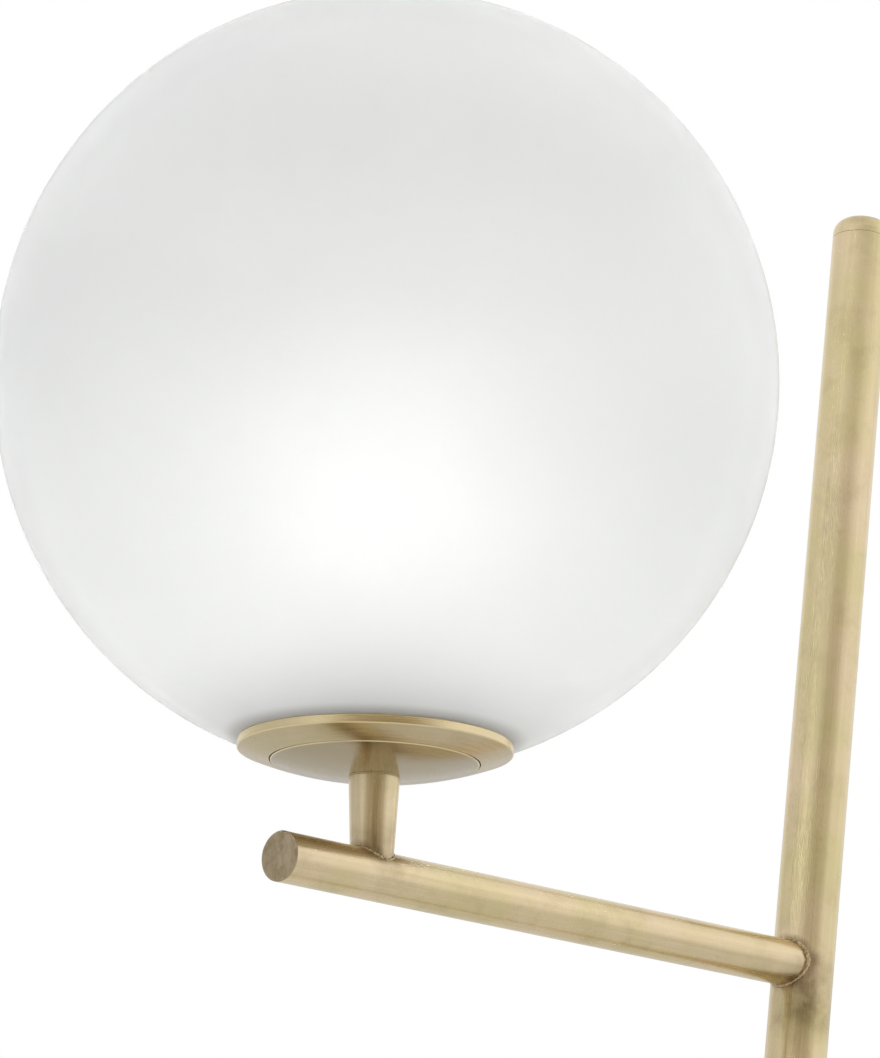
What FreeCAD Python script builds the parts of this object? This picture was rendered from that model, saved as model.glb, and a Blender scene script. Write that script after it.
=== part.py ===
import FreeCAD, Part
import os
from math import asin, cos, degrees, pi, radians, sin, sqrt, tan

os.makedirs("parts", exist_ok=True)
V = FreeCAD.Vector

# Globe floor lamp, in millimetres. The origin is on the floor under the foot of the pole.
# +Z is up. +X runs from the globe's side to the side that the pole leans to.
# The globe, its stem and the lampholder stand plumb on their own axis at x = globe_x.

# --- driving sizes: the lamp as a whole --------------------------------------------------
total_height = 1400.0        # floor to the crown of the globe
globe_radius = 150.0         # outside of the blown glass
pole_lean = 6.4              # degrees from plumb, away from the globe
arm_reach = 251.0            # stem axis to pole axis, along the level arm
stem_length = 28.74          # the dish's underside down to the crown of the arm
arm_overhang = 48.0          # free end of the arm past the stem's axis
pole_rise = 333.0            # end of the pole past the arm's axis, along the pole

# --- driving sizes: tubes ------------------------------------------------------------------
pole_radius = 12.7
pole_wall = 1.6
pole_top_round = 6.5         # rounded edge of the pole's closed end
pole_cap_skirt = 9.0
pole_spigot = 12.0
pole_joint_height = 560.0    # where the two lengths of pole meet, along the pole
joiner_length = 60.0
joiner_bore = 7.0
arm_radius = 9.5
arm_wall = 1.5
arm_plug_flange = 3.0
arm_plug_spigot = 12.0
arm_plug_bevel = 0.8
arm_lead_hole = 6.5          # radius of the hole in the pole's wall, inside the arm
lead_past_nipple = 1.0
stem_top_radius = 9.7
stem_taper = 0.0489          # radius lost for each millimetre of the stem's fall
weld_size = 1.3
braze_size = 0.7
seam_gap = 0.06              # between curved faces that are joined
past = 1.0                   # how far a cut starts outside the face that it opens

# --- driving sizes: the dish under the globe -----------------------------------------------
dish_stand_off = 3.4         # underside of the dish below the glass
dish_thickness = 2.0
dish_edge_bevel = 0.3
disc_radius = 39.3
ring_slit = 0.5              # hairline between the centre disc and the gallery ring
ring_radius = 52.0
rim_wall = 1.4
rim_rise = 2.72              # plumb rim above the dish's outer edge
gasket_inner = 46.7
gasket_clear = 0.3           # under the glass
gasket_margin = 0.2          # to the inside of the rim
seat_radius = 10.2           # flat seats on the disc and the carrier round the stem
carrier_radius = 45.1
carrier_thickness = 1.4
carrier_gap = 0.1

# --- driving sizes: the glass ----------------------------------------------------------------
glass_wall = 3.0
glass_mouth = 46.0           # radius of the opening under the globe
glass_lip = 0.9              # rounding of the fire-polished edge

# --- driving sizes: spring clips ---------------------------------------------------------------
clip_count = 3
clip_width = 8.0
clip_sheet = 0.7
clip_bow = 45.3              # furthest that a clip reaches, as pressed in through the mouth
clip_height = 14.0
clip_screw_ring = 41.4
clip_screw_shank = 1.4
clip_screw_head = 2.0
clip_screw_head_height = 1.5
clip_screw_bite = 1.3
clip_first = 30.0            # degrees from +X round to the first clip
clip_heel = 4.2              # foot's inner end to its screw
clip_inset = 0.9             # knee to the carrier's edge
clip_toe = 0.9               # flat part of the foot before the knee
clip_knee_rise = 0.6
clip_waist_in = 0.2          # blade's waist inside the knee
clip_waist_share = 0.35      # of the clip's height
clip_bow_share = 0.6         # of the clip's height
clip_tip_in = 2.4            # blade's tip inside the knee

# --- driving sizes: nipple, nut and lampholder ----------------------------------------------------
nipple_radius = 5.0
nipple_bore = 3.4
nipple_below = 14.0
nipple_in_holder = 4.4
nipple_proud = 0.6           # nipple's end above the cup's floor
thread_gap = 0.05
lock_washer_radius = 8.0
lock_washer_thickness = 1.2
lock_nut_across = 14.0
lock_nut_height = 3.0
holder_radius = 19.5
holder_foot_radius = 14.0
holder_foot_rise = 9.0
holder_foot_via = 3.8        # height where the rounded foot is widest for its rise
holder_foot_in = 1.2         # and how far it still lies inside the cup's wall there
holder_cup_height = 19.4
holder_wall = 3.0
core_flange = 2.5
core_flange_radius = 18.0
core_depth = 5.0
core_gap = 0.3
skirt_height = 33.0
skirt_straight = 14.0
skirt_top_radius = 17.8
skirt_edge = 1.0
skirt_bore = 15.0
shell_bore = 13.35           # inside of the screw shell
shell_sheet = 0.5
shell_height = 27.5
contact_radius = 3.5
contact_height = 3.4
contact_neck = 2.5
contact_step = 2.0           # height of the rivet under the tongue
contact_edge = 0.5
terminal_size = 5.0
terminal_offset = 8.5
terminal_height = 6.0
terminal_screw_radius = 1.6
terminal_screw_head = 1.2
holder_core_bend = 2.2

# --- driving sizes: bulb -------------------------------------------------------------------------------
bulb_cap_radius = 13.0
bulb_cap_length = 26.0
bulb_cap_cone = 4.0
bulb_cap_end = 8.0
bulb_cap_sheet = 0.5
bulb_tip_radius = 4.5
bulb_tip_height = 1.0
bulb_bead_height = 1.7
bulb_bead_foot = 0.4         # bead past the tip
bulb_bead_gap = 0.2          # bead inside the cap's end
bulb_tip_bevel = 0.6
bulb_rest_gap = 0.3          # tip above the holder's contact
bulb_radius = 30.0
bulb_neck_radius = 18.5
bulb_neck_rise = 22.0
bulb_length = 108.0
bulb_sheet = 1.2
bulb_collar_foot = 14.2
bulb_collar_swell = 1.0      # the flare at half its height
bulb_plug_depth = 8.0
bulb_head_end = -38.0        # degrees below the head's equator where the neck's run starts

# --- driving sizes: base ------------------------------------------------------------------------------------
base_radius = 140.0
base_height = 24.0
base_round = 5.0
cover_sheet = 1.5
cover_lift = 1.2             # rim of the cover above the floor
pad_thickness = 2.0
pad_inset = 6.0              # pad's edge inside the cover's
ballast_clear = 1.5          # casting to the cover's wall
ballast_chamfer = 4.0
pocket_radius = 30.0
pocket_depth = 14.5
channel_width = 26.0
channel_depth = 11.0
stud_radius = 6.0
stud_bore = 3.2
stud_clear = 0.6
stud_in_plug = 20.0
stud_tail = 0.5
foot_plug_length = 26.0
washer_radius = 13.0
washer_edge = 1.0            # thin side of the wedge washer
draw_nut_across = 18.0
draw_nut_height = 5.0
collar_radius = 20.0
collar_height = 16.0
collar_floor = 2.0
collar_round = 3.0
fit_gap = 0.1                # between a tube's bore and what is pushed into it
inlet_height = 7.5
inlet_radius = 4.5
inlet_bore = 3.3
inlet_flange_radius = 6.3
inlet_flange = 1.6
inlet_inner_lip = 0.5        # inner flange past the barrel
inlet_edge = 0.6
inlet_wall_gap = 0.15        # inner flange to the curved wall

# --- driving sizes: wires and terminals in the base -----------------------------------------------------------
lead_radius = 2.2
lead_bend = 14.0
core_radius = 0.85
core_spread = 1.25
core_bend = 3.6
core_end_gap = 0.1
core_height = 5.2            # run of the live and neutral cores above the floor
core_straight = 12.0         # before the two cores part
earth_height = 4.2           # run of the earth core above the floor
lead_end_inside = 1.0        # lead's cut end above the stud's
block_start = 48.0
block_length = 18.0
block_width = 20.0
block_drop = 10.0
block_edge = 1.5
block_way_gap = 0.5          # round a core
block_lead_in = 8.0          # straight part of a core before the block
block_bite = 4.0             # core inside the block
block_screw_radius = 1.8
block_screw_height = 0.5
tag_offset = 18.5            # earth screw behind the pole's foot
tag_radius = 4.2
tag_sheet = 0.8
tag_barrel_radius = 1.6
tag_barrel_reach = 6.0
tag_barrel_drop = 4.0
earth_screw_radius = 2.0
earth_screw_head = 3.4
earth_screw_head_height = 2.0
earth_screw_length = 5.0
earth_hole_spare = 1.0
slot_width = 0.9
slot_depth = 0.8



def fall(sphere_radius, r):
    """How far below its centre a sphere lies at distance r from its axis."""
    return sqrt(sphere_radius ** 2 - r ** 2)


# --- places that follow from the sizes ----------------------------------------------------------------------------
lean = radians(pole_lean)
globe_z = total_height - globe_radius
dish_radius = globe_radius + dish_stand_off
dish_inside = dish_radius - dish_thickness
rim_fall = fall(dish_radius, ring_radius) - rim_rise
ring_inner = disc_radius + ring_slit
carrier_under = dish_inside - carrier_gap
carrier_top = carrier_under - carrier_thickness
stem_top_z = globe_z - fall(dish_radius, seat_radius)
arm_z = stem_top_z - stem_length - arm_radius
arm_along_pole = arm_z / cos(lean)
joint_x = arm_z * tan(lean)
globe_x = joint_x - arm_reach
disc_top_z = globe_z - fall(dish_inside, seat_radius)
carrier_seat_z = globe_z - fall(carrier_top, seat_radius)
lock_nut_z = carrier_seat_z + lock_washer_thickness
holder_z = lock_nut_z + lock_nut_height
nipple_top_z = holder_z + nipple_in_holder
core_z = holder_z + holder_cup_height
core_top_z = core_z + core_flange
bulb_tip_z = core_top_z + contact_height + bulb_rest_gap
bulb_bead_z = bulb_tip_z + bulb_tip_height
bulb_cap_z = bulb_bead_z + bulb_bead_height
bulb_collar_z = bulb_cap_z + bulb_cap_length
bulb_neck_z = bulb_collar_z + bulb_neck_rise
bulb_centre_z = bulb_tip_z + bulb_length - bulb_radius
ballast_radius = base_radius - cover_sheet - ballast_clear
ballast_top_z = base_height - cover_sheet
tag_x = -tag_offset
pocket_roof_z = pad_thickness + pocket_depth
channel_roof_z = pad_thickness + channel_depth
washer_low = (pocket_roof_z - washer_radius * sin(lean)) / cos(lean) - washer_edge
washer_high = (pocket_roof_z + washer_radius * sin(lean)) / cos(lean) + washer_edge
draw_nut_low = washer_low - draw_nut_height
stud_low = draw_nut_low - stud_tail
pole_foot = (base_height + collar_floor + pole_radius * sin(lean)) / cos(lean)
pole_end = arm_along_pole + pole_rise
pole_bore = pole_radius - pole_wall
arm_bore = arm_radius - arm_wall
arm_end_x = globe_x - arm_overhang


# --- helpers ------------------------------------------------------------------------------------------------------------
def outline(start, *steps):
    """Closed face in the XZ plane: a step (r, z) is a line, (r, z, via_r, via_z) an arc."""
    edges = []
    here = start
    for step in steps + (start,):
        a = V(here[0], 0, here[1])
        b = V(step[0], 0, step[1])
        if len(step) == 4:
            edges.append(Part.Arc(a, V(step[2], 0, step[3]), b).toShape())
        elif (b - a).Length > 1e-6:
            edges.append(Part.LineSegment(a, b).toShape())
        here = step[:2]
    return Part.Face(Part.Wire(edges))


def turned(x, z, start, *steps):
    """Solid of revolution about the plumb axis through (x, 0), its outline raised by z."""
    body = outline(start, *steps).revolve(V(0, 0, 0), V(0, 0, 1), 360)
    body.translate(V(x, 0, z))
    return body


def on_sphere(sphere_radius, r_from, r_to):
    """Arc step to r_to along the underside of a sphere about the outline's origin."""
    middle = (r_from + r_to) / 2
    return (r_to, -fall(sphere_radius, r_to), middle, -fall(sphere_radius, middle))


def quarter(r, z, dr, dz, bulge=sin(pi / 4)):
    """Arc step from (r, z) to (r + dr, z + dz) that first leaves along r."""
    return (r + dr, z + dz, r + dr * bulge, z + dz * (1 - bulge))


def rod(x, z_low, z_high, radius, y=0.0):
    return Part.makeCylinder(radius, z_high - z_low, V(x, y, z_low))


def pipe(x, z_low, z_high, outer, inner):
    return rod(x, z_low, z_high, outer).cut(rod(x, z_low - past, z_high + past, inner))


def along_x(x_low, x_high, radius, z, y=0.0):
    return Part.makeCylinder(radius, x_high - x_low, V(x_low, y, z), V(1, 0, 0))


def along_arm(x_low, x_high, radius):
    return along_x(x_low, x_high, radius, arm_z)


def slab(z_low, z_high, reach):
    """Square block round the Z axis, reaching as far out on each side."""
    return Part.makeBox(2 * reach, 2 * reach, z_high - z_low, V(-reach, -reach, z_low))


def leaned(shape):
    """Tip a shape that was made about the Z axis onto the pole's axis."""
    shape.rotate(V(0, 0, 0), V(0, 1, 0), pole_lean)
    return shape


def hexagon(x, z_low, height, across):
    corners = []
    for i in range(7):
        turn = radians(60 * i + 30)
        corners.append(V(x + across / sqrt(3) * cos(turn), across / sqrt(3) * sin(turn), z_low))
    return Part.Face(Part.makePolygon(corners)).extrude(V(0, 0, height))


def wire_run(points, radius, bend):
    """Round wire along straight runs, joined by arcs of one bend radius in the XZ plane."""
    edges = []
    here = points[0]
    for i in range(1, len(points) - 1):
        corner = points[i]
        into = (corner - points[i - 1]).normalize()
        out = (points[i + 1] - corner).normalize()
        half_turn = into.getAngle(out) / 2
        reach = bend * tan(half_turn)
        a = corner - into * reach
        b = corner + out * reach
        inward = (out - into).normalize()
        middle = corner + inward * (bend / cos(half_turn) - bend)
        edges.append(Part.LineSegment(here, a).toShape())
        edges.append(Part.Arc(a, middle, b).toShape())
        here = b
    edges.append(Part.LineSegment(here, points[-1]).toShape())
    start_ring = Part.Wire(Part.makeCircle(radius, points[0], points[1] - points[0]))
    return Part.Wire(edges).makePipeShell([start_ring], True, False)


def save(name, shape):
    solids = shape.Solids
    shape = solids[0] if len(solids) == 1 else Part.makeCompound(solids)
    assert solids and shape.isValid(), name
    shape.exportStep("parts/" + name + ".step")
    low = shape.BoundBox
    print("%-20s %d solid %9.1f mm3 z %.2f..%.2f" % (name, len(solids), shape.Volume, low.ZMin, low.ZMax))


# --- base ---------------------------------------------------------------------------------------------------------------------
def floor_pad():
    return rod(0, 0, pad_thickness, base_radius - pad_inset)


def stud_hole():
    return leaned(rod(0, -base_height, 2 * base_height, stud_radius + stud_clear))


def base_ballast():
    """Cast disc with a pocket for the draw nut and a channel out to the cord inlet."""
    slope = ballast_radius - ballast_chamfer
    disc = turned(0, 0, (0, pad_thickness), (ballast_radius, pad_thickness),
                  (ballast_radius, ballast_top_z - ballast_chamfer), (slope, ballast_top_z),
                  (0, ballast_top_z))
    pocket = rod(0, 0, pocket_roof_z, pocket_radius)
    channel = Part.makeBox(ballast_radius, channel_width, channel_roof_z, V(0, -channel_width / 2, 0))
    screw_end = pocket_roof_z + earth_screw_length
    screw_hole = rod(tag_x, pocket_roof_z - past, screw_end + earth_hole_spare, earth_screw_radius)
    return disc.cut(pocket).cut(channel).cut(stud_hole()).cut(screw_hole)


def base_cover():
    """Spun sheet pan over the ballast, with a rounded shoulder."""
    inside = base_radius - cover_sheet
    shoulder = base_height - base_round
    crown = base_radius - base_round
    small = base_round - cover_sheet
    pan = turned(0, 0, (0, base_height), (crown, base_height),
                 quarter(crown, base_height, base_round, -base_round),
                 (base_radius, cover_lift), (inside, cover_lift), (inside, shoulder),
                 (crown, ballast_top_z, crown + small * sin(pi / 4), shoulder + small * sin(pi / 4)),
                 (0, ballast_top_z))
    inlet = along_x(crown, base_radius + past, inlet_radius + fit_gap, inlet_height)
    return pan.cut(stud_hole()).cut(inlet)


def cord_inlet():
    """Bush in the cover's wall, flanged on both sides, where a mains cord goes in."""
    start = base_radius - cover_sheet - inlet_wall_gap - inlet_flange
    end = base_radius + inlet_flange
    barrel = along_x(start, end, inlet_radius, inlet_height)
    inner = along_x(start, start + inlet_flange, inlet_radius + inlet_inner_lip, inlet_height)
    outer = along_x(base_radius, end, inlet_flange_radius, inlet_height)
    outer = outer.makeFillet(inlet_edge, [outer.Edges[0]])
    bore = along_x(start - past, end + past, inlet_bore, inlet_height)
    return barrel.fuse([inner, outer]).removeSplitter().cut(bore)


def draw_stud():
    return leaned(pipe(0, stud_low, pole_foot + stud_in_plug, stud_radius, stud_bore))


def wedge_washer():
    """Level on top, square to the leaning stud below."""
    ring = leaned(pipe(0, washer_low, washer_high, washer_radius, stud_radius + stud_clear / 2))
    return ring.cut(slab(pocket_roof_z, pocket_roof_z + washer_radius, 2 * washer_radius))


def draw_nut():
    nut = hexagon(0, draw_nut_low, draw_nut_height, draw_nut_across)
    return leaned(nut.cut(rod(0, draw_nut_low - past, washer_low + past, stud_radius + thread_gap)))


def foot_collar():
    """Turned collar: level under, square to the pole above, with a step for the pole's end."""
    low = base_height - collar_radius
    top = pole_foot + collar_height
    collar = turned(0, 0, (stud_radius + stud_clear, low), (collar_radius, low),
                    (collar_radius, top - collar_round),
                    (collar_radius - collar_round, top,
                     collar_radius - collar_round * (1 - sin(pi / 4)),
                     top - collar_round * (1 - sin(pi / 4))),
                    (pole_radius + fit_gap, top), (pole_radius + fit_gap, pole_foot),
                    (stud_radius + stud_clear, pole_foot))
    return leaned(collar).cut(slab(base_height - 2 * collar_radius, base_height, 2 * collar_radius))


def foot_plug():
    return leaned(pipe(0, pole_foot, pole_foot + foot_plug_length, pole_bore - fit_gap,
                       stud_radius + thread_gap))


def earth_tag():
    """Ring tag with a crimp barrel, under the earth screw in the pocket's roof."""
    low = pocket_roof_z - tag_sheet
    ring = rod(tag_x, low, pocket_roof_z, tag_radius)
    barrel_x = tag_x - tag_barrel_reach
    corner = V(barrel_x, -tag_barrel_radius, low)
    tongue = Part.makeBox(tag_barrel_reach, 2 * tag_barrel_radius, tag_sheet, corner)
    barrel = rod(barrel_x, low - tag_barrel_drop, pocket_roof_z, tag_barrel_radius)
    tag = ring.fuse([tongue, barrel]).removeSplitter()
    return tag.cut(rod(tag_x, low - past, pocket_roof_z + past, earth_screw_radius + fit_gap))


def earth_screw():
    head_z = pocket_roof_z - tag_sheet - earth_screw_head_height
    head = rod(tag_x, head_z, pocket_roof_z - tag_sheet, earth_screw_head)
    end_z = pocket_roof_z + earth_screw_length
    shank = rod(tag_x, head_z + slot_depth, end_z, earth_screw_radius - thread_gap)
    corner = V(tag_x - earth_screw_head - past, -slot_width / 2, head_z)
    slot = Part.makeBox(2 * (earth_screw_head + past), slot_width, slot_depth, corner)
    return head.fuse(shank).removeSplitter().cut(slot)


def terminal_block():
    """Moulded block under the channel's roof, with a wire hole at each end of two ways."""
    block = Part.makeBox(block_length, block_width, block_drop,
                         V(block_start, -block_width / 2, channel_roof_z - block_drop))
    edges = [e for e in block.Edges if abs(e.tangentAt(e.FirstParameter).z) > 0.9]
    block = block.makeFillet(block_edge, edges)
    for side in (-1, 1):
        way_y = side * block_width / 4
        block = block.cut(along_x(block_start - past, block_start + block_length + past,
                                  core_radius + block_way_gap, core_height, way_y))
    return block


def block_screws():
    """Four clamp screws under the block's two ways."""
    screws = []
    for side in (-1, 1):
        for share in (0.25, 0.75):
            x = block_start + share * block_length
            top = channel_roof_z - block_drop
            screws.append(rod(x, top - block_screw_height, top, block_screw_radius, side * block_width / 4))
    return Part.makeCompound(screws)


def lead_end():
    """Where the sheathed lead ends, just inside the draw stud's lower end."""
    s = stud_low + lead_end_inside
    return V(s * sin(lean), 0, s * cos(lean))


def base_core(side):
    """Live or neutral core from the lead's end round into the terminal block."""
    start = lead_end() + V(0, side * core_spread, -core_end_gap)
    way_y = side * block_width / 4
    stations = [start, V(start.x, start.y, core_height),
                V(start.x + core_straight, start.y, core_height),
                V(block_start - block_lead_in, way_y, core_height),
                V(block_start + block_bite, way_y, core_height)]
    return wire_run(stations, core_radius, core_bend)


def earth_core():
    start = lead_end() + V(-core_spread, 0, -core_end_gap)
    barrel_x = tag_x - tag_barrel_reach
    barrel_low = pocket_roof_z - tag_sheet - tag_barrel_drop
    stations = [start, V(start.x, 0, earth_height), V(barrel_x, 0, earth_height), V(barrel_x, 0, barrel_low)]
    return wire_run(stations, core_radius, core_bend)


# --- pole and arm -----------------------------------------------------------------------------------------------------------------
def pole_lower():
    return leaned(pipe(0, pole_foot, pole_joint_height, pole_radius, pole_bore))


def pole_upper():
    tube = leaned(pipe(0, pole_joint_height, pole_end - pole_cap_skirt, pole_radius, pole_bore))
    return tube.cut(along_arm(joint_x - 2 * pole_radius, joint_x, arm_lead_hole))


def pole_joiner():
    low = pole_joint_height - joiner_length / 2
    return leaned(pipe(0, low, low + joiner_length, pole_bore - fit_gap, joiner_bore))


def pole_cap():
    """Closed end of the pole, with its rounded edge and a spigot into the tube."""
    low = pole_end - pole_cap_skirt
    flat = pole_radius - pole_top_round
    diagonal = pole_top_round * sin(pi / 4)
    return leaned(turned(0, 0, (0, low - pole_spigot), (pole_bore - fit_gap, low - pole_spigot),
                         (pole_bore - fit_gap, low), (pole_radius, low),
                         (pole_radius, pole_end - pole_top_round),
                         (flat, pole_end, flat + diagonal, pole_end - pole_top_round + diagonal),
                         (0, pole_end)))


def arm_tube():
    """Level tube, coped to the leaning pole, with a hole up into the stem."""
    start = arm_end_x + arm_plug_flange
    tube = along_arm(start, joint_x, arm_radius).cut(along_arm(start - past, joint_x + past, arm_bore))
    reach = 4 * arm_radius
    pole_room = leaned(rod(0, arm_along_pole - reach, arm_along_pole + reach, pole_radius + seam_gap))
    lead_way = rod(globe_x, arm_z, arm_z + 2 * arm_radius, nipple_radius)
    return tube.cut(pole_room).cut(lead_way)


def arm_plug():
    """Solid end of the arm: flat face, small bevel, spigot inside the tube."""
    flange = along_arm(arm_end_x, arm_end_x + arm_plug_flange, arm_radius)
    face_edge = [e for e in flange.Edges if e.BoundBox.XMax < arm_end_x + arm_plug_bevel / 2]
    flange = flange.makeChamfer(arm_plug_bevel, face_edge)
    spigot_end = arm_end_x + arm_plug_flange + arm_plug_spigot
    spigot = along_arm(arm_end_x + arm_plug_flange / 2, spigot_end, arm_bore - fit_gap)
    return flange.fuse(spigot).removeSplitter()


def arm_weld():
    """Bead round the arm's coped end: what two sleeves, on arm and pole, have in common."""
    sleeve = along_arm(joint_x - 3 * pole_radius, joint_x, arm_radius + weld_size)
    sleeve = sleeve.cut(along_arm(joint_x - 4 * pole_radius, joint_x + past, arm_radius + seam_gap))
    low = arm_along_pole - 4 * arm_radius
    high = arm_along_pole + 4 * arm_radius
    jacket = leaned(pipe(0, low, high, pole_radius + weld_size, pole_radius + seam_gap))
    return sleeve.common(jacket)


def stem_radius(z):
    return stem_top_radius - stem_taper * (stem_top_z - z)


def stem():
    """Tapered tube, coped to the arm's top, its head square under the disc."""
    cone = Part.makeCone(stem_radius(arm_z), stem_top_radius, stem_top_z - arm_z, V(globe_x, 0, arm_z))
    bore = rod(globe_x, arm_z - past, stem_top_z + past, nipple_radius + thread_gap)
    reach = 2 * stem_top_radius
    arm_room = along_arm(globe_x - reach, globe_x + reach, arm_radius + seam_gap)
    return cone.cut(bore).cut(arm_room)


def stem_weld():
    """Fine brazed bead between the stem's foot and the arm."""
    height = 2 * arm_radius
    foot = V(globe_x, 0, arm_z)
    low = stem_radius(arm_z)
    high = stem_radius(arm_z + height)
    ring = Part.makeCone(low + braze_size, high + braze_size, height, foot)
    ring = ring.cut(Part.makeCone(low + seam_gap, high + seam_gap, height, foot))
    start = globe_x - 2 * stem_top_radius
    end = globe_x + 2 * stem_top_radius
    jacket = along_arm(start, end, arm_radius + braze_size)
    return ring.common(jacket.cut(along_arm(start - past, end + past, arm_radius + seam_gap)))


# --- dish -----------------------------------------------------------------------------------------------------------------------------
def centre_disc():
    """Dished disc, concentric with the glass, flat where the stem and the nut bear on it."""
    edge = disc_radius - dish_edge_bevel
    low_edge = -fall(dish_radius, disc_radius) + dish_edge_bevel
    bore = nipple_radius + thread_gap
    return turned(globe_x, globe_z, (bore, stem_top_z - globe_z), (seat_radius, stem_top_z - globe_z),
                  on_sphere(dish_radius, seat_radius, edge), (disc_radius, low_edge),
                  (disc_radius, -fall(dish_inside, disc_radius)),
                  on_sphere(dish_inside, disc_radius, seat_radius), (bore, disc_top_z - globe_z))


def gallery_ring():
    """Outer part of the dish: it goes on as the same sphere, then turns up into a plumb rim."""
    low_in = ring_inner + dish_edge_bevel
    low_out = ring_radius - dish_edge_bevel
    rim_inside = ring_radius - rim_wall
    return turned(globe_x, globe_z, (ring_inner, -fall(dish_radius, ring_inner) + dish_edge_bevel),
                  (low_in, -fall(dish_radius, low_in)),
                  on_sphere(dish_radius, low_in, low_out),
                  (ring_radius, -fall(dish_radius, ring_radius) + dish_edge_bevel),
                  (ring_radius, -rim_fall - dish_edge_bevel), (low_out, -rim_fall),
                  (rim_inside, -rim_fall), (rim_inside, -fall(dish_inside, rim_inside)),
                  on_sphere(dish_inside, rim_inside, ring_inner))


def dished_washer(x, z, r_in, r_out, low_sphere, high_sphere):
    """Ring between two concentric spheres."""
    return turned(x, z, (r_in, -fall(low_sphere, r_in)), on_sphere(low_sphere, r_in, r_out),
                  (r_out, -fall(high_sphere, r_out)), on_sphere(high_sphere, r_out, r_in))


def glass_gasket():
    outer = ring_radius - rim_wall - gasket_margin
    return dished_washer(globe_x, globe_z, gasket_inner, outer, dish_inside - carrier_gap,
                         globe_radius + gasket_clear)


def screw_bar(angle, radius, near, far):
    """Round bar on a clip screw's line, which points at the globe's centre, between two depths."""
    bar = Part.makeCylinder(radius, far - near, V(0, 0, -far))
    bar.rotate(V(0, 0, 0), V(0, 1, 0), -degrees(asin(clip_screw_ring / dish_inside)))
    bar.rotate(V(0, 0, 0), V(0, 0, 1), angle)
    bar.translate(V(globe_x, 0, globe_z))
    return bar


def clip_angles():
    return [360.0 * i / clip_count + clip_first for i in range(clip_count)]


def carrier_plate():
    """Inner plate that joins disc and ring across the hairline, out of sight in the glass."""
    bore = nipple_radius + thread_gap
    seat_low = -fall(carrier_under, seat_radius)
    plate = turned(globe_x, globe_z, (bore, seat_low), (seat_radius, seat_low),
                   on_sphere(carrier_under, seat_radius, carrier_radius),
                   (carrier_radius, -fall(carrier_top, carrier_radius)),
                   on_sphere(carrier_top, carrier_radius, seat_radius), (bore, carrier_seat_z - globe_z))
    for angle in clip_angles():
        plate = plate.cut(screw_bar(angle, clip_screw_shank + fit_gap, carrier_top - past, dish_inside))
    return plate


def drilled_ring():
    ring = gallery_ring()
    for angle in clip_angles():
        ring = ring.cut(screw_bar(angle, clip_screw_shank + thread_gap, dish_inside - past,
                                  dish_inside + clip_screw_bite + fit_gap))
    return ring


def ribbon(points, sheet):
    """Face of a bent strip: the path's points, and the same points moved by the sheet."""
    left = []
    right = []
    for i, point in enumerate(points):
        before = points[max(i - 1, 0)]
        after = points[min(i + 1, len(points) - 1)]
        run = V(after[0] - before[0], 0, after[1] - before[1]).normalize()
        side = V(-run.z, 0, run.x) * (sheet / 2)
        here = V(point[0], 0, point[1])
        left.append(here + side)
        right.append(here - side)
    return Part.Face(Part.makePolygon(left + right[::-1] + left[:1]))


def spring_clip(angle):
    """Bent spring strip: a foot on the carrier, a blade up through the mouth, bowed to the glass."""
    heel = clip_screw_ring - clip_heel
    knee = carrier_radius - clip_inset
    bed = carrier_top - carrier_gap
    foot = [(r, clip_sheet / 2 - fall(bed, r)) for r in (heel, clip_screw_ring, knee - clip_toe)]
    low = clip_sheet - fall(bed, knee)
    blade = [(knee, low + clip_knee_rise), (knee - clip_waist_in, low + clip_height * clip_waist_share),
             (clip_bow - clip_sheet / 2, low + clip_height * clip_bow_share),
             (knee - clip_tip_in, low + clip_height)]
    strip = ribbon(foot + blade, clip_sheet).extrude(V(0, clip_width, 0))
    strip.translate(V(0, -clip_width / 2, 0))
    strip.rotate(V(0, 0, 0), V(0, 0, 1), angle)
    strip.translate(V(globe_x, 0, globe_z))
    top = carrier_top - carrier_gap - clip_sheet - past
    return strip.cut(screw_bar(angle, clip_screw_shank + fit_gap, top, dish_inside))


def clip_screws():
    screws = []
    seat = carrier_top - clip_sheet - 2 * carrier_gap
    for angle in clip_angles():
        end = dish_inside + clip_screw_bite
        shank = screw_bar(angle, clip_screw_shank, seat - clip_screw_head_height / 2, end)
        head = screw_bar(angle, clip_screw_head, seat - clip_screw_head_height, seat)
        screws.append(shank.fuse(head).removeSplitter())
    return Part.makeCompound(screws)


# --- lampholder ---------------------------------------------------------------------------------------------------------------------------
def nipple():
    return pipe(globe_x, stem_top_z - nipple_below, nipple_top_z, nipple_radius, nipple_bore)


def lock_washer():
    return pipe(globe_x, carrier_seat_z, lock_nut_z, lock_washer_radius, nipple_radius + thread_gap)


def lock_nut():
    nut = hexagon(globe_x, lock_nut_z, lock_nut_height, lock_nut_across)
    return nut.cut(rod(globe_x, lock_nut_z - past, holder_z + past, nipple_radius + thread_gap))


def holder_cup():
    """Foot of the lampholder, hollow for the terminals, screwed on the nipple."""
    bore = nipple_radius + thread_gap
    room = holder_radius - holder_wall
    floor = nipple_in_holder - nipple_proud
    return turned(globe_x, holder_z, (bore, 0), (holder_foot_radius, 0),
                  (holder_radius, holder_foot_rise, holder_radius - holder_foot_in, holder_foot_via),
                  (holder_radius, holder_cup_height), (room, holder_cup_height), (room, floor), (bore, floor))


def holder_core():
    """Ceramic core that carries the screw shell, the contact and the terminals."""
    spigot = holder_radius - holder_wall - core_gap
    return turned(globe_x, core_z, (0, -core_depth), (spigot, -core_depth), (spigot, 0),
                  (core_flange_radius, 0), (core_flange_radius, core_flange), (0, core_flange))


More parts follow.
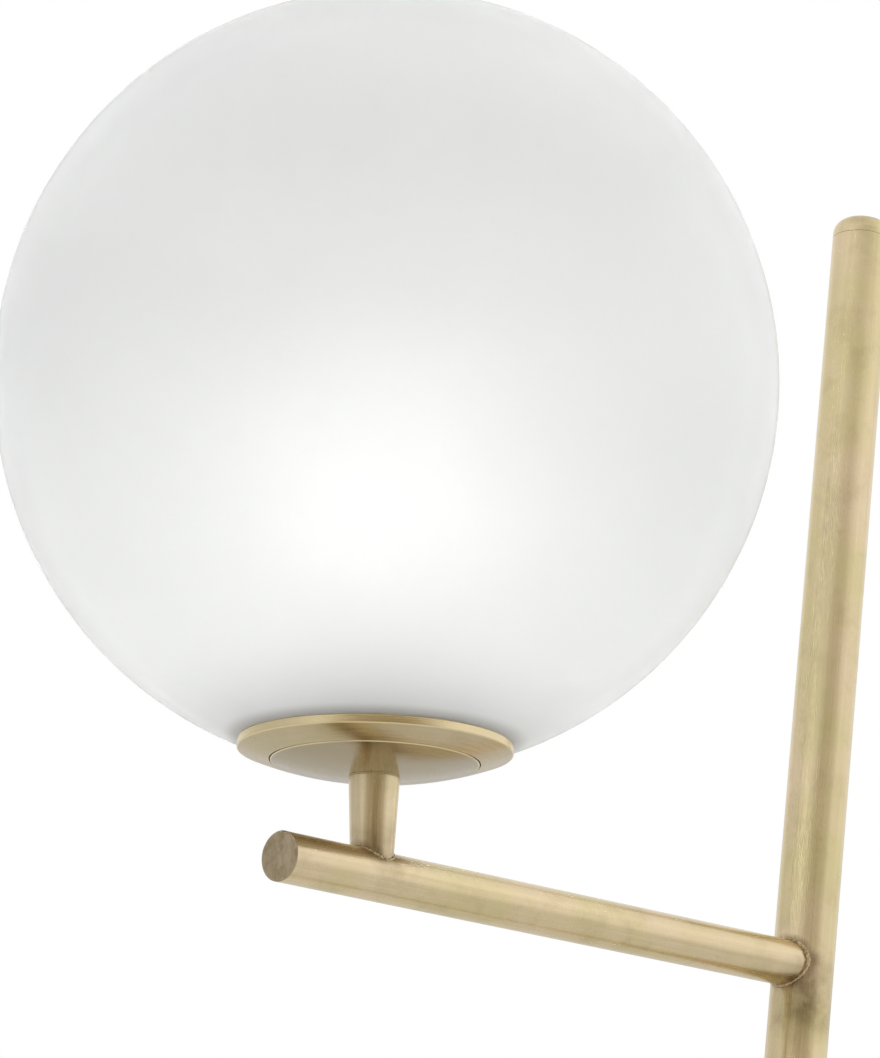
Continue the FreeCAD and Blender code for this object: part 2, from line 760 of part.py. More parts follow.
def holder_skirt():
    """Threaded skirt over the core, tapering to a plain lip round the bulb's cap."""
    room = core_flange_radius + core_gap
    ledge = core_flange + core_gap
    return turned(globe_x, core_z, (room, 0), (holder_radius, 0), (holder_radius, skirt_straight),
                  (skirt_top_radius, skirt_height - skirt_edge),
                  (skirt_top_radius - skirt_edge, skirt_height),
                  (skirt_bore, skirt_height), (skirt_bore, ledge), (room, ledge))


def screw_shell():
    return pipe(globe_x, core_top_z, core_top_z + shell_height, shell_bore + shell_sheet, shell_bore)


def centre_contact():
    """Riveted spring contact: a rivet head under a domed tongue."""
    return turned(globe_x, core_top_z, (0, 0), (contact_neck, 0), (contact_neck, contact_step),
                  (contact_radius, contact_step), (contact_radius, contact_height - contact_edge),
                  (contact_radius - contact_edge, contact_height), (0, contact_height))


def holder_terminals():
    """Two brass clamps under the core, each with its screw head to the outside."""
    clamps = []
    top = core_z - core_depth
    for side in (-1, 1):
        x = globe_x + side * terminal_offset
        half = terminal_size / 2
        corner = V(x - half, -half, top - terminal_height)
        block = Part.makeBox(terminal_size, terminal_size, terminal_height, corner)
        face = V(x + side * half, 0, top - terminal_height / 2)
        screw = Part.makeCylinder(terminal_screw_radius, terminal_screw_head, face, V(side, 0, 0))
        clamps.append(block.fuse(screw).removeSplitter())
    return Part.makeCompound(clamps)


def holder_core_wire(side):
    """Live or neutral core from the lead's upper end out to its clamp."""
    start = V(globe_x + side * core_spread, 0, nipple_top_z + lead_past_nipple + core_end_gap)
    height = core_z - core_depth - terminal_height / 2
    clamp = V(globe_x + side * (terminal_offset - terminal_size / 2), 0, height)
    return wire_run([start, V(start.x, 0, height), clamp], core_radius, holder_core_bend)


def inner_lead():
    """Sheathed lead: up the pole, along the arm, up the stem to the lampholder."""
    low = lead_end()
    corner = V(joint_x, 0, arm_z)
    turn = V(globe_x, 0, arm_z)
    high = V(globe_x, 0, nipple_top_z + lead_past_nipple)
    return wire_run([low, corner, turn, high], lead_radius, lead_bend)


# --- bulb -----------------------------------------------------------------------------------------------------------------------------------
def bulb_cap():
    """Metal screw cap as a thin cup, coned in at its end, of one sheet thickness all over."""
    r = bulb_cap_radius
    inner = r - bulb_cap_sheet
    slope = bulb_cap_cone / (r - bulb_cap_end)
    lift = bulb_cap_sheet * sqrt(1 + slope ** 2)
    inside_cone = slope * (inner - bulb_cap_end) + lift
    return turned(globe_x, bulb_cap_z, (bulb_cap_end, 0), (r, bulb_cap_cone), (r, bulb_cap_length),
                  (inner, bulb_cap_length), (inner, inside_cone), (bulb_cap_end, lift))


def bulb_bead():
    """Dark insulating bead between the cap and its tip."""
    return turned(globe_x, bulb_bead_z, (0, 0), (bulb_tip_radius + bulb_bead_foot, 0),
                  (bulb_cap_end - bulb_bead_gap, bulb_bead_height), (0, bulb_bead_height))


def bulb_tip():
    return turned(globe_x, bulb_tip_z, (0, 0), (bulb_tip_radius - bulb_tip_bevel, 0),
                  (bulb_tip_radius, bulb_tip_bevel), (bulb_tip_radius, bulb_tip_height), (0, bulb_tip_height))


def bulb_collar():
    """Moulded driver housing that flares from the cap to the envelope, with a plug in the cap."""
    plug = bulb_cap_radius - bulb_cap_sheet - fit_gap
    waist = bulb_collar_foot + bulb_collar_swell
    return turned(globe_x, bulb_collar_z, (0, -bulb_plug_depth), (plug, -bulb_plug_depth), (plug, 0),
                  (bulb_collar_foot, 0), (bulb_neck_radius, bulb_neck_rise, waist, bulb_neck_rise / 2),
                  (0, bulb_neck_rise))


def bulb_envelope():
    """Opal envelope: a round head that runs down into the neck, open below."""
    centre = bulb_centre_z - bulb_neck_z
    low = radians(bulb_head_end)
    mid = (low + pi / 2) / 2
    inner = bulb_radius - bulb_sheet
    out_low = (bulb_radius * cos(low), centre + bulb_radius * sin(low))
    in_low = (inner * cos(low), centre + inner * sin(low))
    neck_in = bulb_neck_radius - bulb_sheet
    top = (0, centre + bulb_radius, bulb_radius * cos(mid), centre + bulb_radius * sin(mid))
    top_in = (inner * cos(mid), centre + inner * sin(mid))
    return turned(globe_x, bulb_neck_z, (bulb_neck_radius, 0), out_low, top, (0, centre + inner),
                  in_low + top_in, (neck_in, 0))


# --- glass -------------------------------------------------------------------------------------------------------------------------------------
def glass_globe():
    """Blown sphere with an even wall and a fire-polished mouth."""
    inner = globe_radius - glass_wall
    lip = glass_mouth + glass_lip
    lip_middle = -(fall(globe_radius, lip) + fall(inner, lip)) / 2
    return turned(globe_x, globe_z, (0, globe_radius),
                  (lip, -fall(globe_radius, lip), globe_radius, 0),
                  (lip, -fall(inner, lip), glass_mouth, lip_middle),
                  (0, inner, inner, 0))


pieces = {
    "floor_pad": floor_pad(),
    "base_ballast": base_ballast(),
    "base_cover": base_cover(),
    "cord_inlet": cord_inlet(),
    "draw_stud": draw_stud(),
    "wedge_washer": wedge_washer(),
    "draw_nut": draw_nut(),
    "foot_collar": foot_collar(),
    "foot_plug": foot_plug(),
    "earth_tag": earth_tag(),
    "earth_screw": earth_screw(),
    "terminal_block": terminal_block(),
    "block_screws": block_screws(),
    "base_core_live": base_core(1),
    "base_core_neutral": base_core(-1),
    "earth_core": earth_core(),
    "pole_lower": pole_lower(),
    "pole_joiner": pole_joiner(),
    "pole_upper": pole_upper(),
    "pole_cap": pole_cap(),
    "arm_tube": arm_tube(),
    "arm_plug": arm_plug(),
    "arm_weld": arm_weld(),
    "stem": stem(),
    "stem_weld": stem_weld(),
    "inner_lead": inner_lead(),
    "centre_disc": centre_disc(),
    "gallery_ring": drilled_ring(),
    "carrier_plate": carrier_plate(),
    "glass_gasket": glass_gasket(),
    "clip_screws": clip_screws(),
    "nipple": nipple(),
    "lock_washer": lock_washer(),
    "lock_nut": lock_nut(),
    "holder_cup": holder_cup(),
    "holder_core": holder_core(),
    "holder_skirt": holder_skirt(),
    "screw_shell": screw_shell(),
    "centre_contact": centre_contact(),
    "holder_terminals": holder_terminals(),
    "holder_core_live": holder_core_wire(1),
    "holder_core_neutral": holder_core_wire(-1),
    "bulb_cap": bulb_cap(),
    "bulb_bead": bulb_bead(),
    "bulb_tip": bulb_tip(),
    "bulb_collar": bulb_collar(),
    "bulb_envelope": bulb_envelope(),
    "glass_globe": glass_globe(),
}
for number, angle in enumerate(clip_angles(), 1):
    pieces["spring_clip_%d" % number] = spring_clip(angle)
for name, shape in pieces.items():
    save(name, shape)
print("globe axis x %.3f, centre z %.3f, arm z %.3f, joint x %.3f" % (globe_x, globe_z, arm_z, joint_x))
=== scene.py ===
# %% [markdown]
# # A globe floor lamp in brushed brass
#
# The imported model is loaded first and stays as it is: it says where every piece sits. Each
# visible piece then gets a finer surface in the same place, worked out with numpy, and every
# piece gets a finish made of shader nodes.

import bmesh
import bpy
import numpy as np
from mathutils import Matrix, Vector


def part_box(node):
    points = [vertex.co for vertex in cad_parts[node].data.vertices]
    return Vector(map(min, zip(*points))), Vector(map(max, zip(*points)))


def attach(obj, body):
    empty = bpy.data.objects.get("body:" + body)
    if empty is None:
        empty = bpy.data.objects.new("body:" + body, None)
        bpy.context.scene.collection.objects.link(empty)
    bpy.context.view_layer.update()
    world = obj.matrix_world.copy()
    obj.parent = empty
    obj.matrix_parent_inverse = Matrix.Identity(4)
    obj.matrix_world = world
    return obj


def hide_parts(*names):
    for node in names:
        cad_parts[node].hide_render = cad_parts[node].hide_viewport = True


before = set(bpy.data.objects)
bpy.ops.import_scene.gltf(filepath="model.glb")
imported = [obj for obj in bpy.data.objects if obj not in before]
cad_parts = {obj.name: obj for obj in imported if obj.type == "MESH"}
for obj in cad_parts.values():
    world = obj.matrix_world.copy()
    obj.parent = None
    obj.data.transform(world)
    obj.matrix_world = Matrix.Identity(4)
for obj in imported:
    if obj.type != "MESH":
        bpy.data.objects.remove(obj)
bpy.context.scene.view_settings.view_transform = "Standard"
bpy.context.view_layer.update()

# %% [markdown]
# The lamp is laid out by a few lines and planes. The globe's axis is plumb. The arm is level
# and runs along X. The pole leans from its foot at the origin. All of these are read from the
# frame's boxes or written as the real size, in metres. The dish under the globe is a shallow
# bowl whose curve is a little tighter than the glass's own.

# %% the lamp's lines and sizes
MM = 0.001
globe_low, globe_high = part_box("glass_globe")
GLOBE_X = (globe_low.x + globe_high.x) / 2
GLOBE_R = 150 * MM
GLOBE_Z = globe_high.z - GLOBE_R
LEAN = np.radians(6.4)
POLE_R = 12.7 * MM
POLE_WALL = 1.6 * MM
ARM_R = 9.5 * MM
ARM_WALL = 1.5 * MM
arm_low, arm_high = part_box("arm_tube")
ARM_Z = (arm_low.z + arm_high.z) / 2
JOINT_X = ARM_Z * np.tan(LEAN)
SEAT_FALL = 153.06 * MM
DISH_R = 139.2 * MM
DISH_DROP = 15.2 * MM
DISH_SHEET = 2 * MM
BASE_TOP = 24 * MM
TO_GLOBE = np.array([GLOBE_X, 0, GLOBE_Z])
TO_STEM = np.array([GLOBE_X, 0, 0])
FLOOR = np.zeros(3)
print("globe centre", TO_GLOBE, "arm height", ARM_Z, "joint x", JOINT_X)

# %% [markdown]
# Nearly every piece of a lamp is turned or drawn, so one helper carries a profile round an
# axis. Real edges are never sharp, so a second helper rounds a profile's corners with short
# arcs and puts a close row beside each arc, which keeps the flats looking flat.


# %% profiles
def rounded(corners, steps=5, hold=0.35 * MM):
    """Polyline through (r, z, radius) corners: each corner becomes an arc of its radius that
    touches both sides, centre at radius / sin(half the inner angle) along the bisector."""
    p = np.array([c[:2] for c in corners], float)
    radii = [c[2] if len(c) > 2 else 0.0 for c in corners]
    path = []
    for i, corner in enumerate(p):
        if radii[i] == 0 or i in (0, len(p) - 1):
            path.append(corner)
            continue
        back = p[i - 1] - corner
        ahead = p[i + 1] - corner
        back_length = np.linalg.norm(back)
        ahead_length = np.linalg.norm(ahead)
        back /= back_length
        ahead /= ahead_length
        half = np.arccos(np.clip(back @ ahead, -1, 1)) / 2
        reach = radii[i] / np.tan(half)
        centre = corner + (back + ahead) / np.linalg.norm(back + ahead) * radii[i] / np.sin(half)
        a = corner + back * reach - centre
        b = corner + ahead * reach - centre
        turn = np.arccos(np.clip(a @ b / radii[i] ** 2, -1, 1))
        share = np.linspace(0, 1, steps + 1)[:, None]
        arc = (a * np.sin((1 - share) * turn) + b * np.sin(share * turn)) / np.sin(turn)
        if back_length > reach + hold:
            path.append(corner + back * (reach + hold))
        path.extend(centre + arc)
        if ahead_length > reach + hold:
            path.append(corner + ahead * (reach + hold))
    return np.array(path)


def dish_z(r, sheet=0.0):
    """Height of the dish under the globe's centre: z = -drop - sqrt(R2 - r2), R less the sheet
    on its upper side. Its curve is a little tighter than the globe's."""
    return -DISH_DROP - np.sqrt((DISH_R - sheet) ** 2 - r ** 2)


def dish_run(r_from, r_to, count, sheet=0.0):
    """Corners along the dish's curve, evenly spaced in r."""
    return [(r, dish_z(r, sheet)) for r in np.linspace(r_from, r_to, count)]


def stretch(path, longest):
    """The same polyline with rows added, so that no step is longer than the given one."""
    rows = [path[:1]]
    for a, b in zip(path[:-1], path[1:]):
        count = max(1, int(np.ceil(np.linalg.norm(b - a) / longest)))
        rows.append(a + (b - a) * (np.arange(1, count + 1) / count)[:, None])
    return np.concatenate(rows)


square = rounded([(0, 0), (10 * MM, 0, 1 * MM), (10 * MM, 10 * MM)])
print("a square corner of 1 mm radius becomes", len(square) - 2, "points")


# %% [markdown]
# A grid of points becomes a mesh in one go. Its UV map is in metres along the profile and
# round the piece, so a brushed finish can follow the surface at its true scale on any piece.

# %% measures along and round a piece
AT_AXIS = 1e-9
DOUBLED = 1e-7


def angles(count):
    """Even angles once round: 2 pi k / count."""
    return np.arange(count) / count * 2 * np.pi


def girth(columns, radius):
    """Distance round a circle at each column, and at the first one again: 2 pi r k / columns."""
    return np.arange(columns + 1) / columns * 2 * np.pi * radius


def run(path):
    """Distance along a closed polyline at each point, and back at the first: summed steps."""
    steps = np.linalg.norm(np.diff(np.vstack([path, path[:1]]), axis=0), axis=1)
    return np.concatenate([[0], np.cumsum(steps)])


def on_circle(radius, a):
    """Points of a circle at the given angles: (R cos a, R sin a)."""
    return radius * np.stack([np.cos(a), np.sin(a)], -1)


def about_axis(r, t, z):
    """The point at distance r and angle t: (r cos t, r sin t, z)."""
    return np.stack(np.broadcast_arrays(r * np.cos(t), r * np.sin(t), z), -1)


print("once round the pole is", round(girth(4, POLE_R)[-1] / MM, 1), "mm")


# %% from a grid of points to a piece
def finish_mesh(name, mesh, material, sharp=40):
    """Merge doubled points at poles, turn the faces outwards, shade smooth up to an angle."""
    work = bmesh.new()
    work.from_mesh(mesh)
    bmesh.ops.remove_doubles(work, verts=work.verts, dist=DOUBLED)
    bmesh.ops.recalc_face_normals(work, faces=work.faces)
    work.to_mesh(mesh)
    work.free()
    mesh.polygons.foreach_set("use_smooth", np.ones(len(mesh.polygons), bool))
    mesh.set_sharp_from_angle(angle=np.radians(sharp))
    piece = bpy.data.objects.new(name, mesh)
    bpy.context.scene.collection.objects.link(piece)
    mesh.materials.append(material)
    print(name, len(mesh.polygons), "faces")
    return piece


def grid_mesh(name, points, along, around, closed=True):
    """Quads between neighbours of a rows x columns x 3 grid, whose last column meets the first.
    closed joins the last row to the first too. along and around are the UV map in metres."""
    rows, columns = points.shape[:2]
    i = np.arange(rows if closed else rows - 1)[:, None]
    j = np.arange(columns)[None, :]
    below = (i + 1) % rows
    beside = (j + 1) % columns
    faces = np.stack(np.broadcast_arrays(i * columns + j, i * columns + beside,
                                         below * columns + beside, below * columns + j), -1)
    u, u_next = along[i] + 0 * j, along[i + 1] + 0 * j
    v, v_next = around[j] + 0 * i, around[j + 1] + 0 * i
    corners = np.stack([u, v, u, v_next, u_next, v_next, u_next, v], -1)
    mesh = bpy.data.meshes.new(name)
    mesh.from_pydata(points.reshape(-1, 3).tolist(), [], faces.reshape(-1, 4).tolist())
    uv = mesh.uv_layers.new(name="surface")
    uv.data.foreach_set("uv", corners.astype(np.float32).ravel())
    return mesh


def tipped(x, y, z, lean):
    """Points turned by the lean about Y: x cos + z sin, y, z cos - x sin."""
    return np.stack([x * np.cos(lean) + z * np.sin(lean), y, z * np.cos(lean) - x * np.sin(lean)], -1)


def turned(name, path, material, at=FLOOR, lean=0.0, columns=128, longest=0.02, sharp=40):
    """Surface of revolution: the point at angle t is (r cos t, r sin t, z), tipped by the lean
    about Y and moved to its place. A profile that starts and ends on the axis needs no last
    row back to the first."""
    path = stretch(np.array(path, float), longest)
    closed = path[0, 0] >= AT_AXIS or path[-1, 0] >= AT_AXIS
    t = angles(columns)
    r, z = path[:, 0, None], path[:, 1, None]
    points = tipped(r * np.cos(t), r * np.sin(t), z + 0 * t, lean)
    mesh = grid_mesh(name, points + at, run(path), girth(columns, path[:, 0].max()), closed)
    return finish_mesh(name, mesh, material, sharp)


def laid_level(piece, x, z):
    """A piece turned about Z is swung to the X axis and moved to its height."""
    piece.data.transform(Matrix.Translation((x, 0, z)) @ Matrix.Rotation(np.pi / 2, 4, "Y"))
    return piece


def dress(piece, body, slot, *nodes):
    """The piece rides on a body and stands for its CAD nodes, which are hidden. slot is not used."""
    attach(piece, body)
    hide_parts(*nodes)


two_rings = about_axis(POLE_R, angles(6), np.array([[0.0], [0.1]]))
sample = grid_mesh("sample", two_rings, np.arange(3) * 0.1, girth(6, POLE_R), closed=False)
print("two rings of six points make", len(sample.polygons), "faces")
bpy.data.meshes.remove(sample)

# %% [markdown]
# Finishes come next. The helper below strings shader nodes together, so that each finish
# reads as a short recipe: which pattern, at what scale, drives which property.


# %% shader node helpers
class Nodes:
    """A node tree with short names for the nodes it is built from."""

    def __init__(self, tree):
        self.tree = tree
        self.place = tree.nodes.new("ShaderNodeTexCoord")

    def link(self, source, target):
        self.tree.links.new(source, target)

    def feed(self, socket, value):
        """Numbers and colours are set on the socket, and another node's output is linked."""
        if isinstance(value, (int, float)):
            socket.default_value = value
        elif isinstance(value, tuple):
            socket.default_value = (*value, 1.0)[:len(socket.default_value)]
        else:
            self.link(value, socket)

    def stretch(self, source, scale):
        node = self.tree.nodes.new("ShaderNodeMapping")
        node.inputs["Scale"].default_value = scale
        self.link(source, node.inputs["Vector"])
        return node.outputs["Vector"]

    def noise(self, vector, scale=1.0, detail=4.0, rough=0.55):
        node = self.tree.nodes.new("ShaderNodeTexNoise")
        node.inputs["Scale"].default_value = scale
        node.inputs["Detail"].default_value = detail
        node.inputs["Roughness"].default_value = rough
        self.link(vector, node.inputs["Vector"])
        return node.outputs["Fac"]

    def span(self, value, low, high, to_low=0.0, to_high=1.0, way="LINEAR"):
        node = self.tree.nodes.new("ShaderNodeMapRange")
        node.interpolation_type = way
        for socket, number in zip(("From Min", "From Max", "To Min", "To Max"), (low, high, to_low, to_high)):
            node.inputs[socket].default_value = number
        self.link(value, node.inputs["Value"])
        return node.outputs["Result"]

    def maths(self, operation, a, b):
        node = self.tree.nodes.new("ShaderNodeMath")
        node.operation = operation
        self.feed(node.inputs[0], a)
        self.feed(node.inputs[1], b)
        return node.outputs["Value"]

    def vector(self, operation, a, b=None):
        node = self.tree.nodes.new("ShaderNodeVectorMath")
        node.operation = operation
        self.link(a, node.inputs[0])
        if b is not None:
            self.feed(node.inputs[1], b)
        return node.outputs["Value" if operation in ("DOT_PRODUCT", "LENGTH", "DISTANCE") else "Vector"]

    def blend(self, share, a, b):
        node = self.tree.nodes.new("ShaderNodeMix")
        node.data_type = "RGBA"
        self.feed(node.inputs["Factor"], share)
        self.feed(node.inputs[6], a)
        self.feed(node.inputs[7], b)
        return node.outputs[2]

    def nearness(self, point, near, far):
        """1 within the near distance of a point of the piece, 0 past the far one."""
        return self.span(self.vector("DISTANCE", self.place.outputs["Object"], point), near, far, 1.0, 0.0)


class Recipe(Nodes):
    """A material under construction: its node tree and its Principled shader."""

    def __init__(self, name, **values):
        self.material = bpy.data.materials.new(name)
        self.material.use_nodes = True
        super().__init__(self.material.node_tree)
        self.shader = self.tree.nodes["Principled BSDF"]
        for socket, value in values.items():
            self.shader.inputs[socket.replace("_", " ")].default_value = value

    def bump(self, height, strength, distance):
        node = self.tree.nodes.new("ShaderNodeBump")
        node.inputs["Strength"].default_value = strength
        node.inputs["Distance"].default_value = distance
        self.link(height, node.inputs["Height"])
        self.link(node.outputs["Normal"], self.shader.inputs["Normal"])

    def colour(self, source):
        self.link(source, self.shader.inputs["Base Color"])

    def roughness(self, source):
        self.link(source, self.shader.inputs["Roughness"])


def srgb(red, green, blue):
    """A colour as read off a swatch, 0 to 255, in the linear values that shaders use."""
    c = np.array([red, green, blue]) / 255
    return tuple(np.where(c < 0.04045, c / 12.92, ((c + 0.055) / 1.055) ** 2.4).tolist())


print("a swatch's middle grey is", round(srgb(128, 128, 128)[0], 3), "to a shader")

# %% [markdown]
# The brass has an antique brushed finish. Three things make it: soft bands and hairlines that
# run the way the abrasive went, a cloudy patina that drifts between a pinkish and a greenish
# gold, and browner metal where a torch has been, next to the welds. The brown patch on the pole
# just under the arm is painted shadow of the arm. Two edges of the dish get a thin painted
# highlight line, a lighter colour at a set distance from the globe's axis. The UV map is in
# metres, so the strokes have their real size.

# %% colours and places on the brass
GOLD_PINK = srgb(226, 206, 171)
GOLD_GREEN = srgb(216, 202, 154)
PATINA = srgb(150, 129, 88)
# Colour of the thin painted highlight line on the dish's edges.
PAINTED_EDGE_HIGHLIGHT = srgb(240, 222, 178)
DISC_R = 39.4 * MM
RING_IN = DISC_R + 0.3 * MM
RING_R = 52 * MM
HEAT_BROWN = srgb(118, 96, 66)
# Centre of a brown patch on the pole just under the arm: painted shadow of the arm, in heat brown.
ARM_SHADOW_POINT = (float(JOINT_X - 8 * MM), -9 * MM, float(ARM_Z - 15 * MM))
BRAZE_POINT = (float(GLOBE_X), -4 * MM, float(ARM_Z + ARM_R))
CLOUD_SHARE = 0.24
EDGE_HIGHLIGHT_SHARE = 0.75
# Radii of the thin painted highlight lines on the disc's and the ring's edges.
DISC_EDGE = DISC_R - 0.2 * MM
RING_EDGE = RING_R - 0.2 * MM
BRUSH_STRENGTH = 0.2
BRUSH_DEPTH = 0.05 * MM
# The first point printed is the centre of the painted arm shadow.
print("weld at", ARM_SHADOW_POINT, "seam under the stem at", BRAZE_POINT)


# %% torch stains, painted arm shadow and painted edge highlights
def heat_and_arm_shadow(brass, spot, uneven):
    """Shares of heat brown, each 1 near its place and 0 further off: on the pole just under the
    arm, where it is painted shadow of the arm; by the seam under the stem; and in a ring of scale
    on the pole, between 0.1 and 3.2 mm off the arm's surface on the side where the arm comes in."""
    yield brass.maths("MULTIPLY", brass.nearness(ARM_SHADOW_POINT, 4 * MM, 21 * MM), uneven)
    yield brass.maths("MULTIPLY", brass.nearness(BRAZE_POINT, 4 * MM, 14 * MM), uneven)
    from_arm = brass.vector("SUBTRACT", spot, (0.0, 0.0, float(ARM_Z)))
    off_arm = brass.vector("LENGTH", brass.vector("MULTIPLY", from_arm, (0.0, 1.0, 1.0)))
    scale = brass.maths("MULTIPLY", brass.span(off_arm, ARM_R + 0.8 * MM, ARM_R + 3.2 * MM, 1.0, 0.0),
                        brass.span(off_arm, ARM_R + 0.05 * MM, ARM_R + 0.15 * MM))
    x = brass.vector("DOT_PRODUCT", spot, (1.0, 0.0, 0.0))
    this_side = brass.span(x, float(JOINT_X) - 5 * MM, float(JOINT_X), 1.0, 0.0)
    yield brass.maths("MULTIPLY", brass.maths("MULTIPLY", scale, this_side), uneven)


def off_globe_axis(brass, spot):
    """Distance from the globe's plumb axis: the length of (x - axis, y)."""
    from_axis = brass.vector("SUBTRACT", spot, (float(GLOBE_X), 0.0, 0.0))
    return brass.vector("LENGTH", brass.vector("MULTIPLY", from_axis, (1.0, 1.0, 0.0)))


# These two radii carry the painted highlight lines.
print("edges are rubbed bright", DISC_EDGE, "and", RING_EDGE, "m from the globe's axis")


# %% brushed brass
def brushed_brass(name, brush=(7.0, 300.0), band=0.15, hair=0.09, rough=(0.20, 0.33), pink=GOLD_PINK,
                  green=GOLD_GREEN, heat=0.0, marks=0.0, grit=(300, 300, 200), highlight_at=0.0):
    """brush gives noise cycles a metre along and across the strokes; band and hair say how much
    of the patina the broad and the fine strokes hold; heat browns the metal by the welds and
    also paints the arm's shadow on the pole under the arm; marks is the share of brown scuffs
    and grit their cycles a metre; highlight_at is the distance from the globe's axis where an
    edge gets a thin painted highlight line. Each noise becomes a share, from 0 to 1, and each
    share blends one more colour in."""
    brass = Recipe(name, Metallic=1.0)
    uv = brass.place.outputs["UV"]
    spot = brass.place.outputs["Object"]
    along, across = brush
    bands = brass.noise(brass.stretch(uv, (along, across, 1)), detail=2)
    hairs = brass.noise(brass.stretch(uv, (4 * along, 5 * across, 1)), detail=3)
    drift = brass.noise(spot, scale=26, detail=4, rough=0.6)
    cloud = brass.noise(spot, scale=75, detail=5, rough=0.65)
    tone = brass.blend(brass.span(drift, 0.36, 0.64), pink, green)
    tone = brass.blend(brass.span(bands, 0.58, 0.30, 0.0, band), tone, PATINA)
    tone = brass.blend(brass.span(hairs, 0.52, 0.28, 0.0, hair), tone, PATINA)
    tone = brass.blend(brass.span(cloud, 0.50, 0.26, 0.0, CLOUD_SHARE), tone, PATINA)
    if heat:
        # Besides heat tint, these shares paint the arm's shadow on the pole just under the arm.
        for stain in heat_and_arm_shadow(brass, spot, brass.span(cloud, 0.30, 0.62, heat, 0.3 * heat)):
            tone = brass.blend(stain, tone, HEAT_BROWN)
    height = hairs
    if marks:
        scuffs = brass.noise(brass.stretch(spot, grit), detail=5, rough=0.7)
        tone = brass.blend(brass.span(scuffs, 0.56, 0.34, 0.0, marks), tone, HEAT_BROWN)
        height = brass.maths("ADD", hairs, brass.maths("MULTIPLY", scuffs, 1.5))
    # Painted highlight: a thin lighter line at a set distance from the globe's axis, on the dish's edges.
    if highlight_at:
        from_edge = brass.maths("ABSOLUTE", brass.maths("SUBTRACT", off_globe_axis(brass, spot), highlight_at), 0)
        tone = brass.blend(brass.span(from_edge, 0.15 * MM, 0.40 * MM, EDGE_HIGHLIGHT_SHARE, 0.0), tone, PAINTED_EDGE_HIGHLIGHT)
    brass.colour(tone)
    brass.roughness(brass.span(brass.maths("ADD", hairs, bands), 0.7, 1.3, *rough))
    brass.bump(height, BRUSH_STRENGTH, BRUSH_DEPTH)
    return brass.material


TUBE_BRASS = brushed_brass("brass_tube", heat=0.95)
print("brass on the tubes has", len(TUBE_BRASS.node_tree.nodes), "nodes")

# %% six more brass finishes
STEM_BRASS = brushed_brass("brass_stem", heat=0.7, brush=(14.0, 420.0), band=0.24,
                           pink=srgb(232, 211, 181), green=srgb(222, 207, 168))
# The disc and the ring are darker, greyer copies of the brass: painted shade for their undersides, which face
# down.
SHADED_DISC_BRASS = brushed_brass("brass_disc_shaded", brush=(700.0, 5.0), band=0.10, hair=0.10, rough=(0.16, 0.26),
                           pink=srgb(178, 165, 141), green=srgb(171, 157, 128), highlight_at=DISC_EDGE)
SHADED_RING_BRASS = brushed_brass("brass_ring_shaded", brush=(600.0, 6.0), band=0.16, hair=0.12, rough=(0.18, 0.30),
                           pink=srgb(203, 186, 155), green=srgb(195, 180, 140), highlight_at=RING_EDGE)
END_BRASS = brushed_brass("brass_end", brush=(240.0, 240.0), rough=(0.3, 0.5), marks=0.5,
                          pink=srgb(186, 170, 143), green=srgb(170, 152, 124))
BASE_BRASS = brushed_brass("brass_base", brush=(500.0, 5.0), band=0.14, hair=0.14, rough=(0.22, 0.36))
WELD_BRASS = brushed_brass("brass_weld", brush=(400.0, 400.0), rough=(0.22, 0.5), marks=0.9,
                           grit=(900, 900, 700), pink=srgb(214, 194, 158), green=srgb(176, 156, 116))
print("the weld's brass, with its scuffs, has", len(WELD_BRASS.node_tree.nodes), "nodes")

# %% [markdown]
# The opal glass is white all through. Light from the bulb is scattered as it crosses the
# wall, so a low, wide glow shows and no filament. Rough transmission under a smooth coat
# does both: it blurs what is inside and keeps the skin's soft gloss. On top of that a glow is
# painted in: the glass emits light of its own, brightest nearest the bulb and fading towards
# the mouth, and just above the rim its colour is painted grey as the rim's shadow.

# %% opal glass
PAINTED_GLOW = 0.00175
GLOW_DROP = 42 * MM
MOUTH_FADE = (152 * MM, 118 * MM)
RIM_SHADOW_FADE = (141 * MM, 138 * MM)
MILK = srgb(244, 245, 245)
CLEAR_MILK = srgb(249, 250, 250)
# Grey painted into the glass just above the dish's rim: painted shadow of the rim.
PAINTED_RIM_SHADOW = srgb(196, 195, 192)


